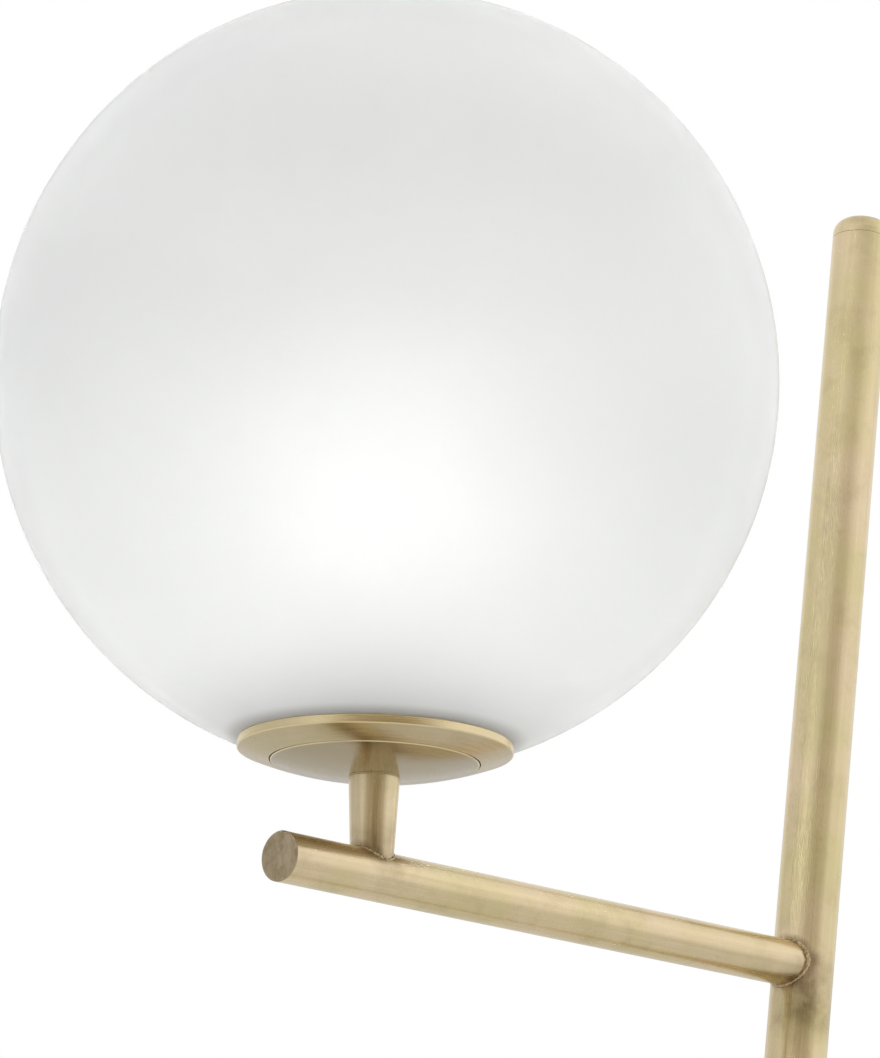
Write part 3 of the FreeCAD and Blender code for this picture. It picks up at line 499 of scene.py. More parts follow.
def opal_glass():
    """White glass: part scatters like milk, part lets blurred light through. It also has a painted
    glow: it emits light as if soaked up from the bulb, cos(angle to the wall) / distance squared,
    less near the mouth, where the lampholder stands in the way. Just above the rim its colour is
    painted grey, as the rim's shadow."""
    glass = Recipe("opal_glass", Roughness=1.0, IOR=1.45, Transmission_Weight=0.5, Coat_Weight=0.3,
                   Coat_Roughness=0.12, Emission_Color=(1, 1, 1, 1))
    spot = glass.place.outputs["Object"]
    x, z = float(GLOBE_X), float(GLOBE_Z)
    height = glass.vector("DOT_PRODUCT", spot, (0.0, 0.0, 1.0))
    cords = glass.noise(glass.stretch(spot, (5, 5, 11)), detail=2)
    white = glass.blend(glass.span(cords, 0.35, 0.65), MILK, CLEAR_MILK)
    # Painted shadow: the glass turns grey in a narrow band just above the rim.
    rim_shadow_share = glass.span(height, z - RIM_SHADOW_FADE[0], z - RIM_SHADOW_FADE[1], way="SMOOTHSTEP")
    glass.colour(glass.blend(rim_shadow_share, PAINTED_RIM_SHADOW, white))
    glass.bump(cords, 0.06, 0.002)
    # Painted glow: emission on the glass stands in for the bulb's light scattered in the wall.
    from_bulb = glass.vector("SUBTRACT", spot, (x, 0.0, z - GLOW_DROP))
    from_centre = glass.vector("SUBTRACT", spot, (x, 0.0, z))
    cosine = glass.vector("DOT_PRODUCT", glass.vector("NORMALIZE", from_bulb),
                          glass.vector("NORMALIZE", from_centre))
    spread = glass.maths("POWER", glass.vector("LENGTH", from_bulb), -2)
    shade = glass.span(height, z - MOUTH_FADE[0], z - MOUTH_FADE[1], way="SMOOTHSTEP")
    painted_glow_scale = glass.maths("MULTIPLY", shade, PAINTED_GLOW)
    glow = glass.maths("MULTIPLY", glass.maths("MULTIPLY", cosine, spread), painted_glow_scale)
    glass.link(glow, glass.shader.inputs["Emission Strength"])
    glass.material.cycles.emission_sampling = "NONE"
    return glass.material


OPAL = opal_glass()
print("opal glass has", len(OPAL.node_tree.nodes), "nodes")

# %% [markdown]
# Plainer finishes share one recipe: a colour that wanders a little, a roughness that wanders
# with it and a fine bump, each at the scale of that material's own grain. The bulb is on: it
# lights the glass at BULB_LIGHT, but a camera that looks straight at it would see a burnt-out
# patch without a shape, so Light Path's Is Camera Ray gives camera rays the low BULB_LOOK.

# %% plain finishes
BULB_LIGHT = 4.1
BULB_LOOK = 0.1


def grained(name, colour, shade, scale, rough, metal=0.0, bump=0.1, depth=0.1 * MM, **values):
    """One noise of so many cycles a metre blends two colours and two roughnesses, and bumps."""
    stuff = Recipe(name, Metallic=metal, **values)
    grain = stuff.noise(stuff.place.outputs["Object"], scale=scale, detail=5)
    stuff.colour(stuff.blend(stuff.span(grain, 0.3, 0.7), colour, shade))
    stuff.roughness(stuff.span(grain, 0.3, 0.7, *rough))
    stuff.bump(grain, bump, depth)
    return stuff.material


ZINC = grained("zinc_plate", srgb(196, 198, 202), srgb(168, 171, 177), 900, (0.22, 0.42), metal=1.0)
SPRING = grained("spring_strip", srgb(150, 152, 158), srgb(120, 122, 130), 700, (0.2, 0.4), metal=1.0)
BRIGHT = grained("drawn_brass", srgb(222, 190, 116), srgb(200, 164, 92), 800, (0.16, 0.34), metal=1.0)
NICKEL = grained("nickel_cap", srgb(205, 204, 200), srgb(184, 183, 180), 900, (0.18, 0.34), metal=1.0)
IRON = grained("cast_iron", srgb(58, 58, 60), srgb(38, 38, 40), 420, (0.6, 0.85), bump=0.5, depth=0.6 * MM)
RUBBER = grained("pad_rubber", srgb(34, 34, 35), srgb(22, 22, 23), 1500, (0.7, 0.9), bump=0.4, depth=0.3 * MM)
BLACK = grained("black_plastic", srgb(28, 28, 29), srgb(20, 20, 21), 1200, (0.35, 0.5), bump=0.15)
WHITE = grained("white_plastic", srgb(236, 236, 233), srgb(228, 228, 225), 600, (0.32, 0.45), bump=0.05)
CERAMIC = grained("ceramic", srgb(232, 229, 220), srgb(218, 214, 204), 700, (0.45, 0.7), bump=0.25)
SILICONE = grained("silicone", srgb(226, 226, 222), srgb(214, 214, 210), 500, (0.4, 0.55), bump=0.05)
SHEATH = grained("lead_sheath", srgb(214, 214, 210), srgb(200, 200, 196), 500, (0.35, 0.5), bump=0.05)
BROWN = grained("brown_core", srgb(108, 66, 40), srgb(92, 54, 32), 500, (0.3, 0.45), bump=0.05)
BLUE = grained("blue_core", srgb(44, 104, 176), srgb(36, 88, 156), 500, (0.3, 0.45), bump=0.05)
GREEN = grained("earth_core", srgb(120, 170, 60), srgb(206, 200, 50), 160, (0.3, 0.45), bump=0.05)
BEAD = grained("cap_bead", srgb(24, 22, 30), srgb(16, 15, 20), 400, (0.08, 0.2), bump=0.05)
BULB = grained("bulb_opal", srgb(246, 243, 236), srgb(240, 237, 229), 60, (0.3, 0.42), bump=0.03,
               Emission_Color=(1.0, 0.985, 0.96, 1.0))


def light_up(material, light, look):
    """Strength by Light Path: look for camera rays, light for all others."""
    lit = Nodes(material.node_tree)
    path = lit.tree.nodes.new("ShaderNodeLightPath")
    strength = lit.span(path.outputs["Is Camera Ray"], 0.0, 1.0, light, look)
    lit.link(strength, lit.tree.nodes["Principled BSDF"].inputs["Emission Strength"])


light_up(BULB, BULB_LIGHT, BULB_LOOK)

# %% [markdown]
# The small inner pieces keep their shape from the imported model. Each gets the finish of what
# it is made of.

# %% finishes of the carried pieces
CARRIED = (
    (ZINC, "draw_stud wedge_washer draw_nut foot_plug pole_joiner carrier_plate nipple lock_washer"),
    (ZINC, "lock_nut clip_screws block_screws earth_screw"),
    (SPRING, "spring_clip_1 spring_clip_2 spring_clip_3"),
    (BRIGHT, "earth_tag centre_contact holder_terminals bulb_tip"),
    (IRON, "base_ballast"), (BLACK, "terminal_block"), (CERAMIC, "holder_core"),
    (SILICONE, "glass_gasket"), (SHEATH, "inner_lead"), (BROWN, "base_core_live holder_core_live"),
    (BLUE, "base_core_neutral holder_core_neutral"), (GREEN, "earth_core"), (BEAD, "bulb_bead"))

for material, nodes in CARRIED:
    for node in nodes.split():
        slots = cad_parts[node].data.materials
        slots.clear()
        slots.append(material)
    print(material.name, "on", nodes)

# %% [markdown]
# The globe is a blown sphere. Its profile runs down the outside, round the lip of its mouth
# and up the inside, so the wall has its real thickness for light to cross.

# %% the globe
GLASS_WALL = 3 * MM
MOUTH_R = 46 * MM
LIP = 0.9 * MM


def globe():
    """Two arcs about one centre, r = R cos(a), z = R sin(a), joined by a half-round lip."""
    inner = GLOBE_R - GLASS_WALL
    start = np.arccos((MOUTH_R + LIP) / GLOBE_R)
    end = np.arccos((MOUTH_R + LIP) / inner)
    outside = on_circle(GLOBE_R, np.linspace(np.pi / 2, -start, 120))
    inside = on_circle(inner, np.linspace(-end, np.pi / 2, 110))
    low, high = outside[-1], inside[0]
    s = np.linspace(0, np.pi, 9)[1:-1, None]
    lip = (low + high) / 2 + (low - high) / 2 * np.cos(s) + np.array([-LIP, 0]) * np.sin(s)
    outside[0, 0] = inside[-1, 0] = 0
    return turned("globe", np.vstack([outside, lip, inside]), OPAL, at=TO_GLOBE, columns=192, sharp=80)


dress(globe(), "globe", "opal_glass", "glass_globe")

# %% [markdown]
# The dish under the globe is two spinnings with one curve: the centre disc, which the stem
# carries, and the gallery ring round it, which turns up into a short plumb rim. A hairline
# slit parts them. Both keep a slightly rolled edge with a thin painted highlight line, and both
# are a darker, greyer brass: painted shade for their undersides, which face down.

# %% the dish
RIM_WALL = 1.4 * MM
RIM_GAP = 0.12 * MM
SEAT_R = 10.2 * MM
EDGE = 0.4 * MM
EDGE_ROOM = 0.8 * MM
BORE = 5.05 * MM


def centre_disc():
    """Two curved runs, under and over the sheet, joined by a plumb edge and by the bore."""
    under = dish_run(SEAT_R, DISC_R - EDGE_ROOM, 26)
    over = dish_run(DISC_R - EDGE_ROOM, SEAT_R, 20, DISH_SHEET)
    corners = [(BORE, under[0][1])] + under
    corners += [(DISC_R, dish_z(DISC_R), EDGE), (DISC_R, dish_z(DISC_R, DISH_SHEET), EDGE)]
    corners += over + [(BORE, over[-1][1])]
    return turned("disc", rounded(corners, steps=4, hold=0.1 * MM), SHADED_DISC_BRASS, at=TO_GLOBE, columns=160,
                  longest=0.004)


def gallery_ring():
    """The rim's top follows the glass a hair below it: z = -sqrt(R2 - r2) - gap."""
    inside = RING_R - RIM_WALL
    under = dish_run(RING_IN + EDGE_ROOM, RING_R - EDGE_ROOM, 12)
    over = dish_run(inside - 0.3 * MM, RING_IN + EDGE_ROOM, 10, DISH_SHEET)
    rim = [(r, -np.sqrt(GLOBE_R ** 2 - r ** 2) - RIM_GAP, EDGE) for r in (RING_R, inside)]
    slit = [(RING_IN, dish_z(RING_IN, DISH_SHEET), EDGE), (RING_IN, dish_z(RING_IN), EDGE)]
    corners = under + [(RING_R, dish_z(RING_R), EDGE)] + rim
    corners += [(inside, dish_z(inside, DISH_SHEET), 0.1 * MM)] + over + slit + [under[0]]
    return turned("ring", rounded(corners, steps=4, hold=0.1 * MM)[:-1], SHADED_RING_BRASS, at=TO_GLOBE, columns=192,
                  longest=0.004)


dress(centre_disc(), "stand", "brushed_brass", "centre_disc")
dress(gallery_ring(), "stand", "brushed_brass", "gallery_ring")

# %% [markdown]
# The tubes are drawn brass. The pole is two lengths that screw together, with a closed top
# whose edge is well rounded. Where two lengths meet there is a fine groove, because each
# tube's end is eased by a few tenths of a millimetre.

# %% pole
COLLAR_FLOOR = 2 * MM
POLE_ABOVE_ARM = 333 * MM
POLE_FOOT = (BASE_TOP + COLLAR_FLOOR + POLE_R * np.sin(LEAN)) / np.cos(LEAN)
POLE_JOINT = 560 * MM
POLE_END = ARM_Z / np.cos(LEAN) + POLE_ABOVE_ARM
CAP_SKIRT = 9 * MM
CAP_SPIGOT = 12 * MM
TOP_ROUND = 6.5 * MM
EASED = 0.25 * MM
FIT = 0.1 * MM


def pole_length(name, low, high):
    """A tube's section, with eased corners. It starts in the middle of the outside, so that
    the UV map has no seam at an edge."""
    bore = POLE_R - POLE_WALL
    corners = [(POLE_R, (low + high) / 2), (POLE_R, high, EASED), (bore, high, EASED), (bore, low, EASED),
               (POLE_R, low, EASED), (POLE_R, (low + high) / 2)]
    return turned(name, rounded(corners, steps=3)[:-1], TUBE_BRASS, lean=LEAN, columns=96)


def pole_cap():
    """Spigot, skirt and closed top with its well rounded edge."""
    low = POLE_END - CAP_SKIRT
    plug = POLE_R - POLE_WALL - FIT
    corners = [(0, low - CAP_SPIGOT), (plug, low - CAP_SPIGOT, 0.5 * MM), (plug, low, 0.05 * MM),
               (POLE_R, low, 0.12 * MM), (POLE_R, POLE_END, TOP_ROUND), (0, POLE_END)]
    return turned("pole_top", rounded(corners, steps=12), TUBE_BRASS, lean=LEAN, columns=96, longest=0.002)


lower = pole_length("pole_foot_length", POLE_FOOT, POLE_JOINT)
upper = pole_length("pole_head_length", POLE_JOINT, POLE_END - CAP_SKIRT)
dress(lower, "stand", "brushed_brass", "pole_lower")
dress(upper, "stand", "brushed_brass", "pole_upper")
dress(pole_cap(), "stand", "brushed_brass", "pole_cap")

# %% [markdown]
# The arm is coped: its end is cut to the curve of the leaning pole. Each line along the arm
# therefore ends at its own place, which follows from the two cylinders. The stem's foot is
# coped to the arm in the same way.

# %% arm and stem
def coped_x(y, z):
    """Where a line along the arm meets the pole: with h the height over the arm's axis,
    x = joint + (h sin(lean) - sqrt(R2 - y2)) / cos(lean)."""
    return JOINT_X + ((z - ARM_Z) * np.sin(LEAN) - np.sqrt(POLE_R ** 2 - y ** 2)) / np.cos(LEAN)


ARM_OVERHANG = 48 * MM
ARM_END = GLOBE_X - ARM_OVERHANG
PLUG_FLANGE = 0.85 * MM
PLUG_BEVEL = 0.65 * MM
PLUG_LENGTH = 15 * MM
PRESSED = 0.02 * MM
TUBE_COLUMNS = 96


def arm_tube():
    """Grid of rows along the arm: share s of the way from the plug to the cope, at angle t."""
    t = angles(TUBE_COLUMNS)
    s = np.linspace(0, 1, 90)[:, None]
    walls = []
    for radius, share in ((ARM_R, s), (ARM_R - ARM_WALL, s[::-1])):
        y = radius * np.cos(t)
        z = ARM_Z + radius * np.sin(t)
        end = coped_x(y, z) + PRESSED
        x = ARM_END + PLUG_FLANGE + share * (end - ARM_END - PLUG_FLANGE)
        walls.append(np.stack(np.broadcast_arrays(x, y, z), -1))
    points = np.concatenate(walls)
    mesh = grid_mesh("arm", points, run(points[:, 0]), girth(TUBE_COLUMNS, ARM_R))
    return finish_mesh("arm", mesh, TUBE_BRASS)


def arm_plug():
    """Turned about the arm's axis: flat face, bevel, flange and spigot."""
    spigot = ARM_R - ARM_WALL - FIT
    face = rounded([(0, 0), (ARM_R - PLUG_BEVEL, 0, 0.15 * MM), (ARM_R, PLUG_BEVEL, 0.15 * MM),
                    (ARM_R, PLUG_FLANGE), (spigot, PLUG_FLANGE), (spigot, PLUG_LENGTH, 0.4 * MM),
                    (0, PLUG_LENGTH)], steps=4, hold=0.1 * MM)
    piece = turned("arm_plug_end", face, END_BRASS, columns=TUBE_COLUMNS, longest=0.001)
    return laid_level(piece, ARM_END, ARM_Z)


STEM_TOP_R = 9.7 * MM
STEM_TAPER = 0.0489
NECK_GROOVE = 0.15 * MM
NECK_WIDTH = 0.45 * MM
NECK_EASE = 0.3 * MM
STEM_TOP = GLOBE_Z - SEAT_FALL


def stem_radius(z):
    """The taper: top radius less a fixed share of the fall below the top."""
    return STEM_TOP_R - STEM_TAPER * (STEM_TOP - z)


def stem_neck(z):
    """Depth of the fine groove under the disc: 0 below, eased in over its width."""
    return NECK_GROOVE * np.clip((z - (GLOBE_Z + dish_z(STEM_TOP_R) - NECK_WIDTH)) / NECK_EASE, 0, 1)


def stem_foot(t):
    """Height where the stem's line at angle t meets the arm: z = arm + sqrt(R2 - y2), found
    in three rounds because the stem's own radius changes with that height."""
    z = np.full_like(t, ARM_Z + ARM_R)
    for _ in range(3):
        y = stem_radius(z) * np.sin(t)
        z = ARM_Z + np.sqrt(np.maximum(ARM_R ** 2 - y ** 2, 0))
    return z


def stem():
    """Rows from the coped foot up the outside and down the bore: z = foot + s (top - foot),
    with s set close together at the neck, where the groove is."""
    t = angles(TUBE_COLUMNS)
    s = np.concatenate([np.linspace(0, 0.93, 34), np.linspace(0.933, 1, 26)])[:, None]
    foot = stem_foot(t)
    z = foot + s * (STEM_TOP - foot)
    outside = about_axis(stem_radius(z) - stem_neck(z), t, z)
    inner_foot = ARM_Z + np.sqrt(ARM_R ** 2 - (BORE * np.sin(t)) ** 2)
    inside = about_axis(BORE, t, STEM_TOP + s * (inner_foot - STEM_TOP))
    points = np.concatenate([outside, inside]) + TO_STEM
    mesh = grid_mesh("stem_tube", points, run(points[:, 0]), girth(TUBE_COLUMNS, STEM_TOP_R))
    return finish_mesh("stem_tube", mesh, STEM_BRASS)


dress(arm_tube(), "stand", "brushed_brass", "arm_tube")
dress(arm_plug(), "stand", "brushed_brass", "arm_plug")
dress(stem(), "stand", "brushed_brass", "stem")

# %% [markdown]
# A weld bead is a small rope of metal laid along the seam. It wanders, swells and dips, and
# its ripples lean the way the torch went. The bead here is a tube along the seam's own curve
# whose radius and place are moved by sums of sines with fixed phases.

# %% weld beads
SEAM_POINTS = 720
BEAD_COLUMNS = 20
RIPPLES = 61
ARM_BEAD = 0.85 * MM
STEM_BEAD = 0.55 * MM
SEAM_LIFT = 0.3 * MM
SEAM_BACK = 0.25 * MM


def wander(t, seed, waves, low=2):
    """Sum of sines with whole numbers of waves round the seam, so that it closes on itself."""
    draw = np.random.default_rng(seed)
    total = np.zeros_like(t)
    for k in range(low, low + waves):
        total += draw.normal() / np.sqrt(k) * np.sin(k * t + draw.uniform(0, 2 * np.pi))
    return total / np.sqrt(waves)


def bead(name, seam, radius, seed, lumps):
    """Closed tube round a closed curve. At angle t along the seam its radius is
    R (1 + lumps x slow sines + ripples), and the ripples lean as the torch went: their phase
    turns with the angle p round the bead. A fine grain of sines in both angles roughens it."""
    t = angles(len(seam))[:, None]
    p = angles(BEAD_COLUMNS)[None, :]
    forward = np.roll(seam, -1, 0) - np.roll(seam, 1, 0)
    forward /= np.linalg.norm(forward, axis=1)[:, None]
    outward = seam - seam.mean(0)
    outward -= (outward * forward).sum(1)[:, None] * forward
    outward /= np.linalg.norm(outward, axis=1)[:, None]
    side = np.cross(forward, outward)
    slow = wander(t, seed, 12)
    ripples = 0.08 * np.sin(RIPPLES * t + p + 5 * wander(t, seed + 2, 7))
    grain = 0.45 * wander(t + 0.02 * np.sin(2 * p), seed + 3, 60, 15) * (1 + 0.5 * np.sin(p + 3 * slow))
    swell = radius * np.clip(1 + lumps * slow + ripples + grain, 0.3, 2.4)
    drift = radius * 0.55 * wander(t, seed + 1, 14)
    ring = outward[:, None] * np.cos(p)[..., None] + side[:, None] * np.sin(p)[..., None]
    points = (seam + drift * side)[:, None] + ring * swell[..., None]
    mesh = grid_mesh(name, points, run(seam), girth(BEAD_COLUMNS, radius))
    return finish_mesh(name, mesh, WELD_BRASS, sharp=180)


def arm_seam():
    """The arm's end ring, a little outside the tube and a little back from the cope."""
    t = angles(SEAM_POINTS)
    y = (ARM_R + SEAM_LIFT) * np.cos(t)
    h = (ARM_R + SEAM_LIFT) * np.sin(t)
    return np.stack([coped_x(y, ARM_Z + h) - SEAM_BACK, y, ARM_Z + h], -1)


def stem_seam():
    """The stem's foot on the arm."""
    t = angles(SEAM_POINTS)
    foot = stem_foot(t)
    return about_axis(stem_radius(foot), t, foot) + TO_STEM


dress(bead("arm_bead", arm_seam(), ARM_BEAD, 5, 0.75), "stand", "weld_brass", "arm_weld")
dress(bead("stem_bead", stem_seam(), STEM_BEAD, 9, 0.6), "stand", "weld_brass", "stem_weld")

# %% [markdown]
# The base is a heavy casting under a spun cover, with a rubber pad below. The collar at the
# pole's foot is turned square to the pole and faced off level. Its lower edge is therefore a
# slanted cut: the turned wall's points are simply stopped where they meet that level.

# %% base
BASE_R = 140 * MM
COVER_SHEET = 1.5 * MM
COVER_FOOT = 1.2 * MM
COVER_HOLE = 6.8 * MM
PAD_R = 134 * MM
PAD_SHEET = 2 * MM
COLLAR_R = 20 * MM
COLLAR_RISE = 16 * MM
COLLAR_HOLE = 6.6 * MM


def base_cover():
    """Spun cover: flat top, well rounded shoulder, plumb wall that ends above the floor."""
    inside = BASE_R - COVER_SHEET
    corners = [(COVER_HOLE, BASE_TOP), (BASE_R, BASE_TOP, 5 * MM), (BASE_R, COVER_FOOT, 0.4 * MM),
               (inside, COVER_FOOT, 0.4 * MM), (inside, BASE_TOP - COVER_SHEET, 3.5 * MM),
               (COVER_HOLE, BASE_TOP - COVER_SHEET)]
    return turned("base_shell", rounded(corners, steps=8), BASE_BRASS, columns=256, longest=0.008)


def foot_collar():
    """Turned about the pole's axis; the bottom ring is pulled to the level of the base's top:
    at angle t the wall ends where z = s cos(lean) - r sin(lean) cos(t) is that level."""
    top = POLE_FOOT + COLLAR_RISE
    bore = POLE_R + FIT
    path = rounded([(COLLAR_R, 0), (COLLAR_R, top, 3 * MM), (bore, top, 0.3 * MM), (bore, POLE_FOOT),
                    (COLLAR_HOLE, POLE_FOOT), (COLLAR_HOLE, 0)], steps=8)
    path = stretch(path, 4 * MM)
    t = angles(128)
    r = path[:, 0, None] + 0 * t
    level = (BASE_TOP + r * np.sin(LEAN) * np.cos(t)) / np.cos(LEAN)
    s = np.maximum(path[:, 1, None] + 0 * t, level)
    points = tipped(r * np.cos(t), r * np.sin(t), s, LEAN)
    return finish_mesh("collar", grid_mesh("collar", points, run(path), girth(128, COLLAR_R)), SHADED_RING_BRASS)


def floor_pad():
    """A thin round sheet with a softened lower edge."""
    corners = [(0, 0), (PAD_R, 0, 0.4 * MM), (PAD_R, PAD_SHEET, 0.2 * MM), (0, PAD_SHEET)]
    return turned("pad", rounded(corners, steps=3), RUBBER, columns=192)


def cord_inlet():
    """Flanged bush, turned about a level axis through the base's wall."""
    low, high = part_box("cord_inlet")
    bore, barrel, nut, flange, lip = 3.3 * MM, 4.5 * MM, 5 * MM, 6.3 * MM, 1.6 * MM
    length = high.x - low.x
    corners = [(bore, 1 * MM), (bore, length, 0.5 * MM), (flange, length, 0.7 * MM),
               (flange, length - lip, 0.1 * MM), (barrel, length - lip), (barrel, lip),
               (nut, lip, 0.1 * MM), (nut, 0, 0.3 * MM), (bore, 0, 0.3 * MM), (bore, 1 * MM)]
    piece = turned("inlet", rounded(corners, steps=4, hold=0.1 * MM)[:-1], BLACK, columns=64)
    return laid_level(piece, low.x, (low.z + high.z) / 2)


dress(base_cover(), "stand", "brushed_brass", "base_cover")
dress(foot_collar(), "stand", "brushed_brass", "foot_collar")
dress(floor_pad(), "stand", "rubber_pad", "floor_pad")
dress(cord_inlet(), "stand", "black_plastic", "cord_inlet")

# %% [markdown]
# Inside the globe stand the lampholder and the bulb. They show when the globe is lifted off,
# so the holder's skirt has its grip ribs and the bulb's cap its rolled thread, both made by
# moving the turned surface in and out.

# %% lampholder
HOLDER_LOW, HOLDER_HIGH = (corner.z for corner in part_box("holder_cup"))
HOLDER_R = 19.5 * MM
CUP_FLOOR = 3.8 * MM
SKIRT_TOP = 33 * MM
SKIRT_BORE = 15 * MM
SKIRT_SEAT = (18.3 * MM, 2.8 * MM)
RIB_COUNT = 36
RIB_DEPTH = 0.35 * MM
SKIRT_COLUMNS = 288


def holder_cup():
    """A foot that widens to the skirt's size, with the nipple's hole in its floor."""
    height = HOLDER_HIGH - HOLDER_LOW
    room = HOLDER_R - 3 * MM
    corners = [(BORE, 0), (14 * MM, 0, 1.5 * MM), (HOLDER_R, 9 * MM, 5 * MM), (HOLDER_R, height, 0.3 * MM),
               (room, height), (room, CUP_FLOOR), (BORE, CUP_FLOOR)]
    at = np.array([GLOBE_X, 0, HOLDER_LOW])
    return turned("holder_foot", rounded(corners, steps=6), BLACK, at=at, columns=96, longest=0.003)


def holder_skirt():
    """Ribs: the straight part's radius is cut by the ribs' depth times |sin(n t / 2)| cubed,
    which leaves n ridges with hollows between them."""
    seat_r, seat_z = SKIRT_SEAT
    corners = [(HOLDER_R, 0, 0.3 * MM), (HOLDER_R, 14 * MM, 1 * MM), (17.8 * MM, 32 * MM, 0.5 * MM),
               (16.8 * MM, SKIRT_TOP), (SKIRT_BORE, SKIRT_TOP, 0.3 * MM), (SKIRT_BORE, seat_z),
               (seat_r, seat_z), (seat_r, 0), (18.9 * MM, 0)]
    path = stretch(rounded(corners, steps=5), 1.5 * MM)
    t = angles(SKIRT_COLUMNS)
    outer, height = path[:, 0], path[:, 1]
    ribbed = (outer > 18.5 * MM) & (height > 1.2 * MM) & (height < 13 * MM)
    hollows = np.abs(np.sin(RIB_COUNT / 2 * t)) ** 3
    r = outer[:, None] - RIB_DEPTH * ribbed.astype(float)[:, None] * hollows
    points = about_axis(r, t, height[:, None] + 0 * t) + np.array([GLOBE_X, 0, HOLDER_HIGH])
    mesh = grid_mesh("holder_ribs", points, run(path), girth(SKIRT_COLUMNS, HOLDER_R))
    return finish_mesh("holder_ribs", mesh, BLACK)


# %% rolled threads
THREAD_COLUMNS = 96
THREAD_PITCH = 3.6 * MM
THREAD_FADE = 1.2 * MM


def rolled_thread(name, low, high, radius, sheet, depth, material):
    """Rolled sheet thread: r = R - depth (1 - cos(2 pi z / pitch - t)) / 2, faded at both ends."""
    t = angles(THREAD_COLUMNS)
    z = np.linspace(low, high, 110)[:, None] + 0 * t
    fade = np.clip((z - low) / THREAD_FADE, 0, 1) * np.clip((high - z) / THREAD_FADE, 0, 1)
    fade = fade * fade * (3 - 2 * fade)
    r = radius - depth * fade * (1 - np.cos(2 * np.pi * z / THREAD_PITCH - t)) / 2
    points = np.concatenate([about_axis(r, t, z), about_axis(r - sheet, t, z)[::-1]]) + TO_STEM
    mesh = grid_mesh(name, points, run(points[:, 0]), girth(THREAD_COLUMNS, radius))
    return finish_mesh(name, mesh, material, sharp=60)


dress(holder_cup(), "stand", "black_plastic", "holder_cup")
dress(holder_skirt(), "stand", "black_plastic", "holder_skirt")
shell_low, shell_high = (corner.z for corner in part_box("screw_shell"))
shell = rolled_thread("shell_thread", shell_low, shell_high, 13.85 * MM, 0.4 * MM, 0.1 * MM, BRIGHT)
dress(shell, "stand", "plain_brass", "screw_shell")

# %% [markdown]
# The bulb: an opal head that runs into its neck, a white collar that flares down to the cap,
# and the cap with its thread. The head is the lamp's light.

# %% bulb
BULB_R = 30 * MM
BULB_SHEET = 1.2 * MM
HEAD_END = -38
NECK_R = 18.5 * MM
COLLAR_HEIGHT = 22 * MM
COLLAR_FOOT_R = 14.2 * MM
COLLAR_PLUG_R = 12.4 * MM
COLLAR_PLUG = 8 * MM
CAP_HEIGHT = 26 * MM
CAP_R = 13 * MM
CAP_SHEET = 0.45 * MM
NECK_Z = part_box("bulb_collar")[1].z
COLLAR_Z = NECK_Z - COLLAR_HEIGHT
CAP_Z = COLLAR_Z - CAP_HEIGHT
BULB_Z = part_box("bulb_envelope")[1].z - BULB_R


def bulb_envelope():
    """Head: r = R cos(a), z = R sin(a), down to 38 degrees below its equator, then a straight
    run to the neck; the inside follows within the glass's thickness."""
    centre = np.array([0, BULB_Z - NECK_Z])
    a = np.radians(np.linspace(90, HEAD_END, 60))
    outside = centre + on_circle(BULB_R, a)
    inside = centre + on_circle(BULB_R - BULB_SHEET, a[::-1])
    outside[0, 0] = inside[-1, 0] = 0
    s = np.linspace(0, 1, 10)[1:, None]
    neck = outside[-1] * (1 - s) + np.array([NECK_R, 0]) * s
    back = np.array([[NECK_R - BULB_SHEET, 0]])
    return turned("bulb_head", np.vstack([outside, neck, back, inside]), BULB,
                  at=np.array([GLOBE_X, 0, NECK_Z]), columns=128, sharp=60)


def bulb_collar():
    """Flare: r goes from the cap's size to the neck's along a square-law curve."""
    s = np.linspace(0, 1, 24)
    flare = np.stack([COLLAR_FOOT_R + (NECK_R - COLLAR_FOOT_R) * s ** 2, COLLAR_Z + COLLAR_HEIGHT * s], -1)
    foot = COLLAR_Z - COLLAR_PLUG
    plug = [(0, foot), (COLLAR_PLUG_R, foot), (COLLAR_PLUG_R, COLLAR_Z)]
    return turned("bulb_flare", np.vstack([plug, flare, [(0, NECK_Z)]]), WHITE, at=TO_STEM, columns=96)


def cap_cone():
    """The cap's lower end: a thin cone from the thread in to the dark bead."""
    corners = [(7.6 * MM, CAP_Z + 0.1 * MM), (8 * MM, CAP_Z), (CAP_R, CAP_Z + 3.7 * MM, 0.4 * MM),
               (CAP_R - CAP_SHEET, CAP_Z + 4 * MM), (7.6 * MM, CAP_Z + 0.5 * MM)]
    return turned("bulb_cone", rounded(corners, steps=4), NICKEL, at=TO_STEM, columns=96)


dress(bulb_envelope(), "bulb", "bulb_glass", "bulb_envelope")
dress(bulb_collar(), "bulb", "bulb_plastic", "bulb_collar")
thread_low, thread_high = CAP_Z + 3.5 * MM, COLLAR_Z - 0.05 * MM
thread = rolled_thread("bulb_thread", thread_low, thread_high, CAP_R, CAP_SHEET, 0.75 * MM, NICKEL)
dress(thread, "bulb", "bulb_metal", "bulb_cap")
dress(cap_cone(), "bulb", "bulb_metal")

# %% [markdown]
# The lamp stands on a plain pale floor in a white studio. The world is white to the eye. What
# it sends on to the lamp is white nearly all round too, with a dim, warm stretch where the dark
# side of the room is, and slightly less light from the left, from behind and from overhead.
# The dim stretch is what gives the brass its shape, because a mirror shows only what is round
# it. One large, weak lamp adds a soft direction.

# %% the room's light by direction
DIM_SIDE = (-0.61, -0.79, 0.06)
DIM_COLOUR = (0.31, 0.25, 0.15)
LEFT_SIDE = (-0.62, 0.78, 0.0)
BACK_SIDE = (0.71, 0.70, 0.02)
OVERHEAD = (0.0, 0.0, 1.0)
LEFT_LIGHT = 0.60
BACK_LIGHT = 0.69
OVERHEAD_LIGHT = 0.80
SQUASH = 3.2
ROOM_STRENGTH = 0.96


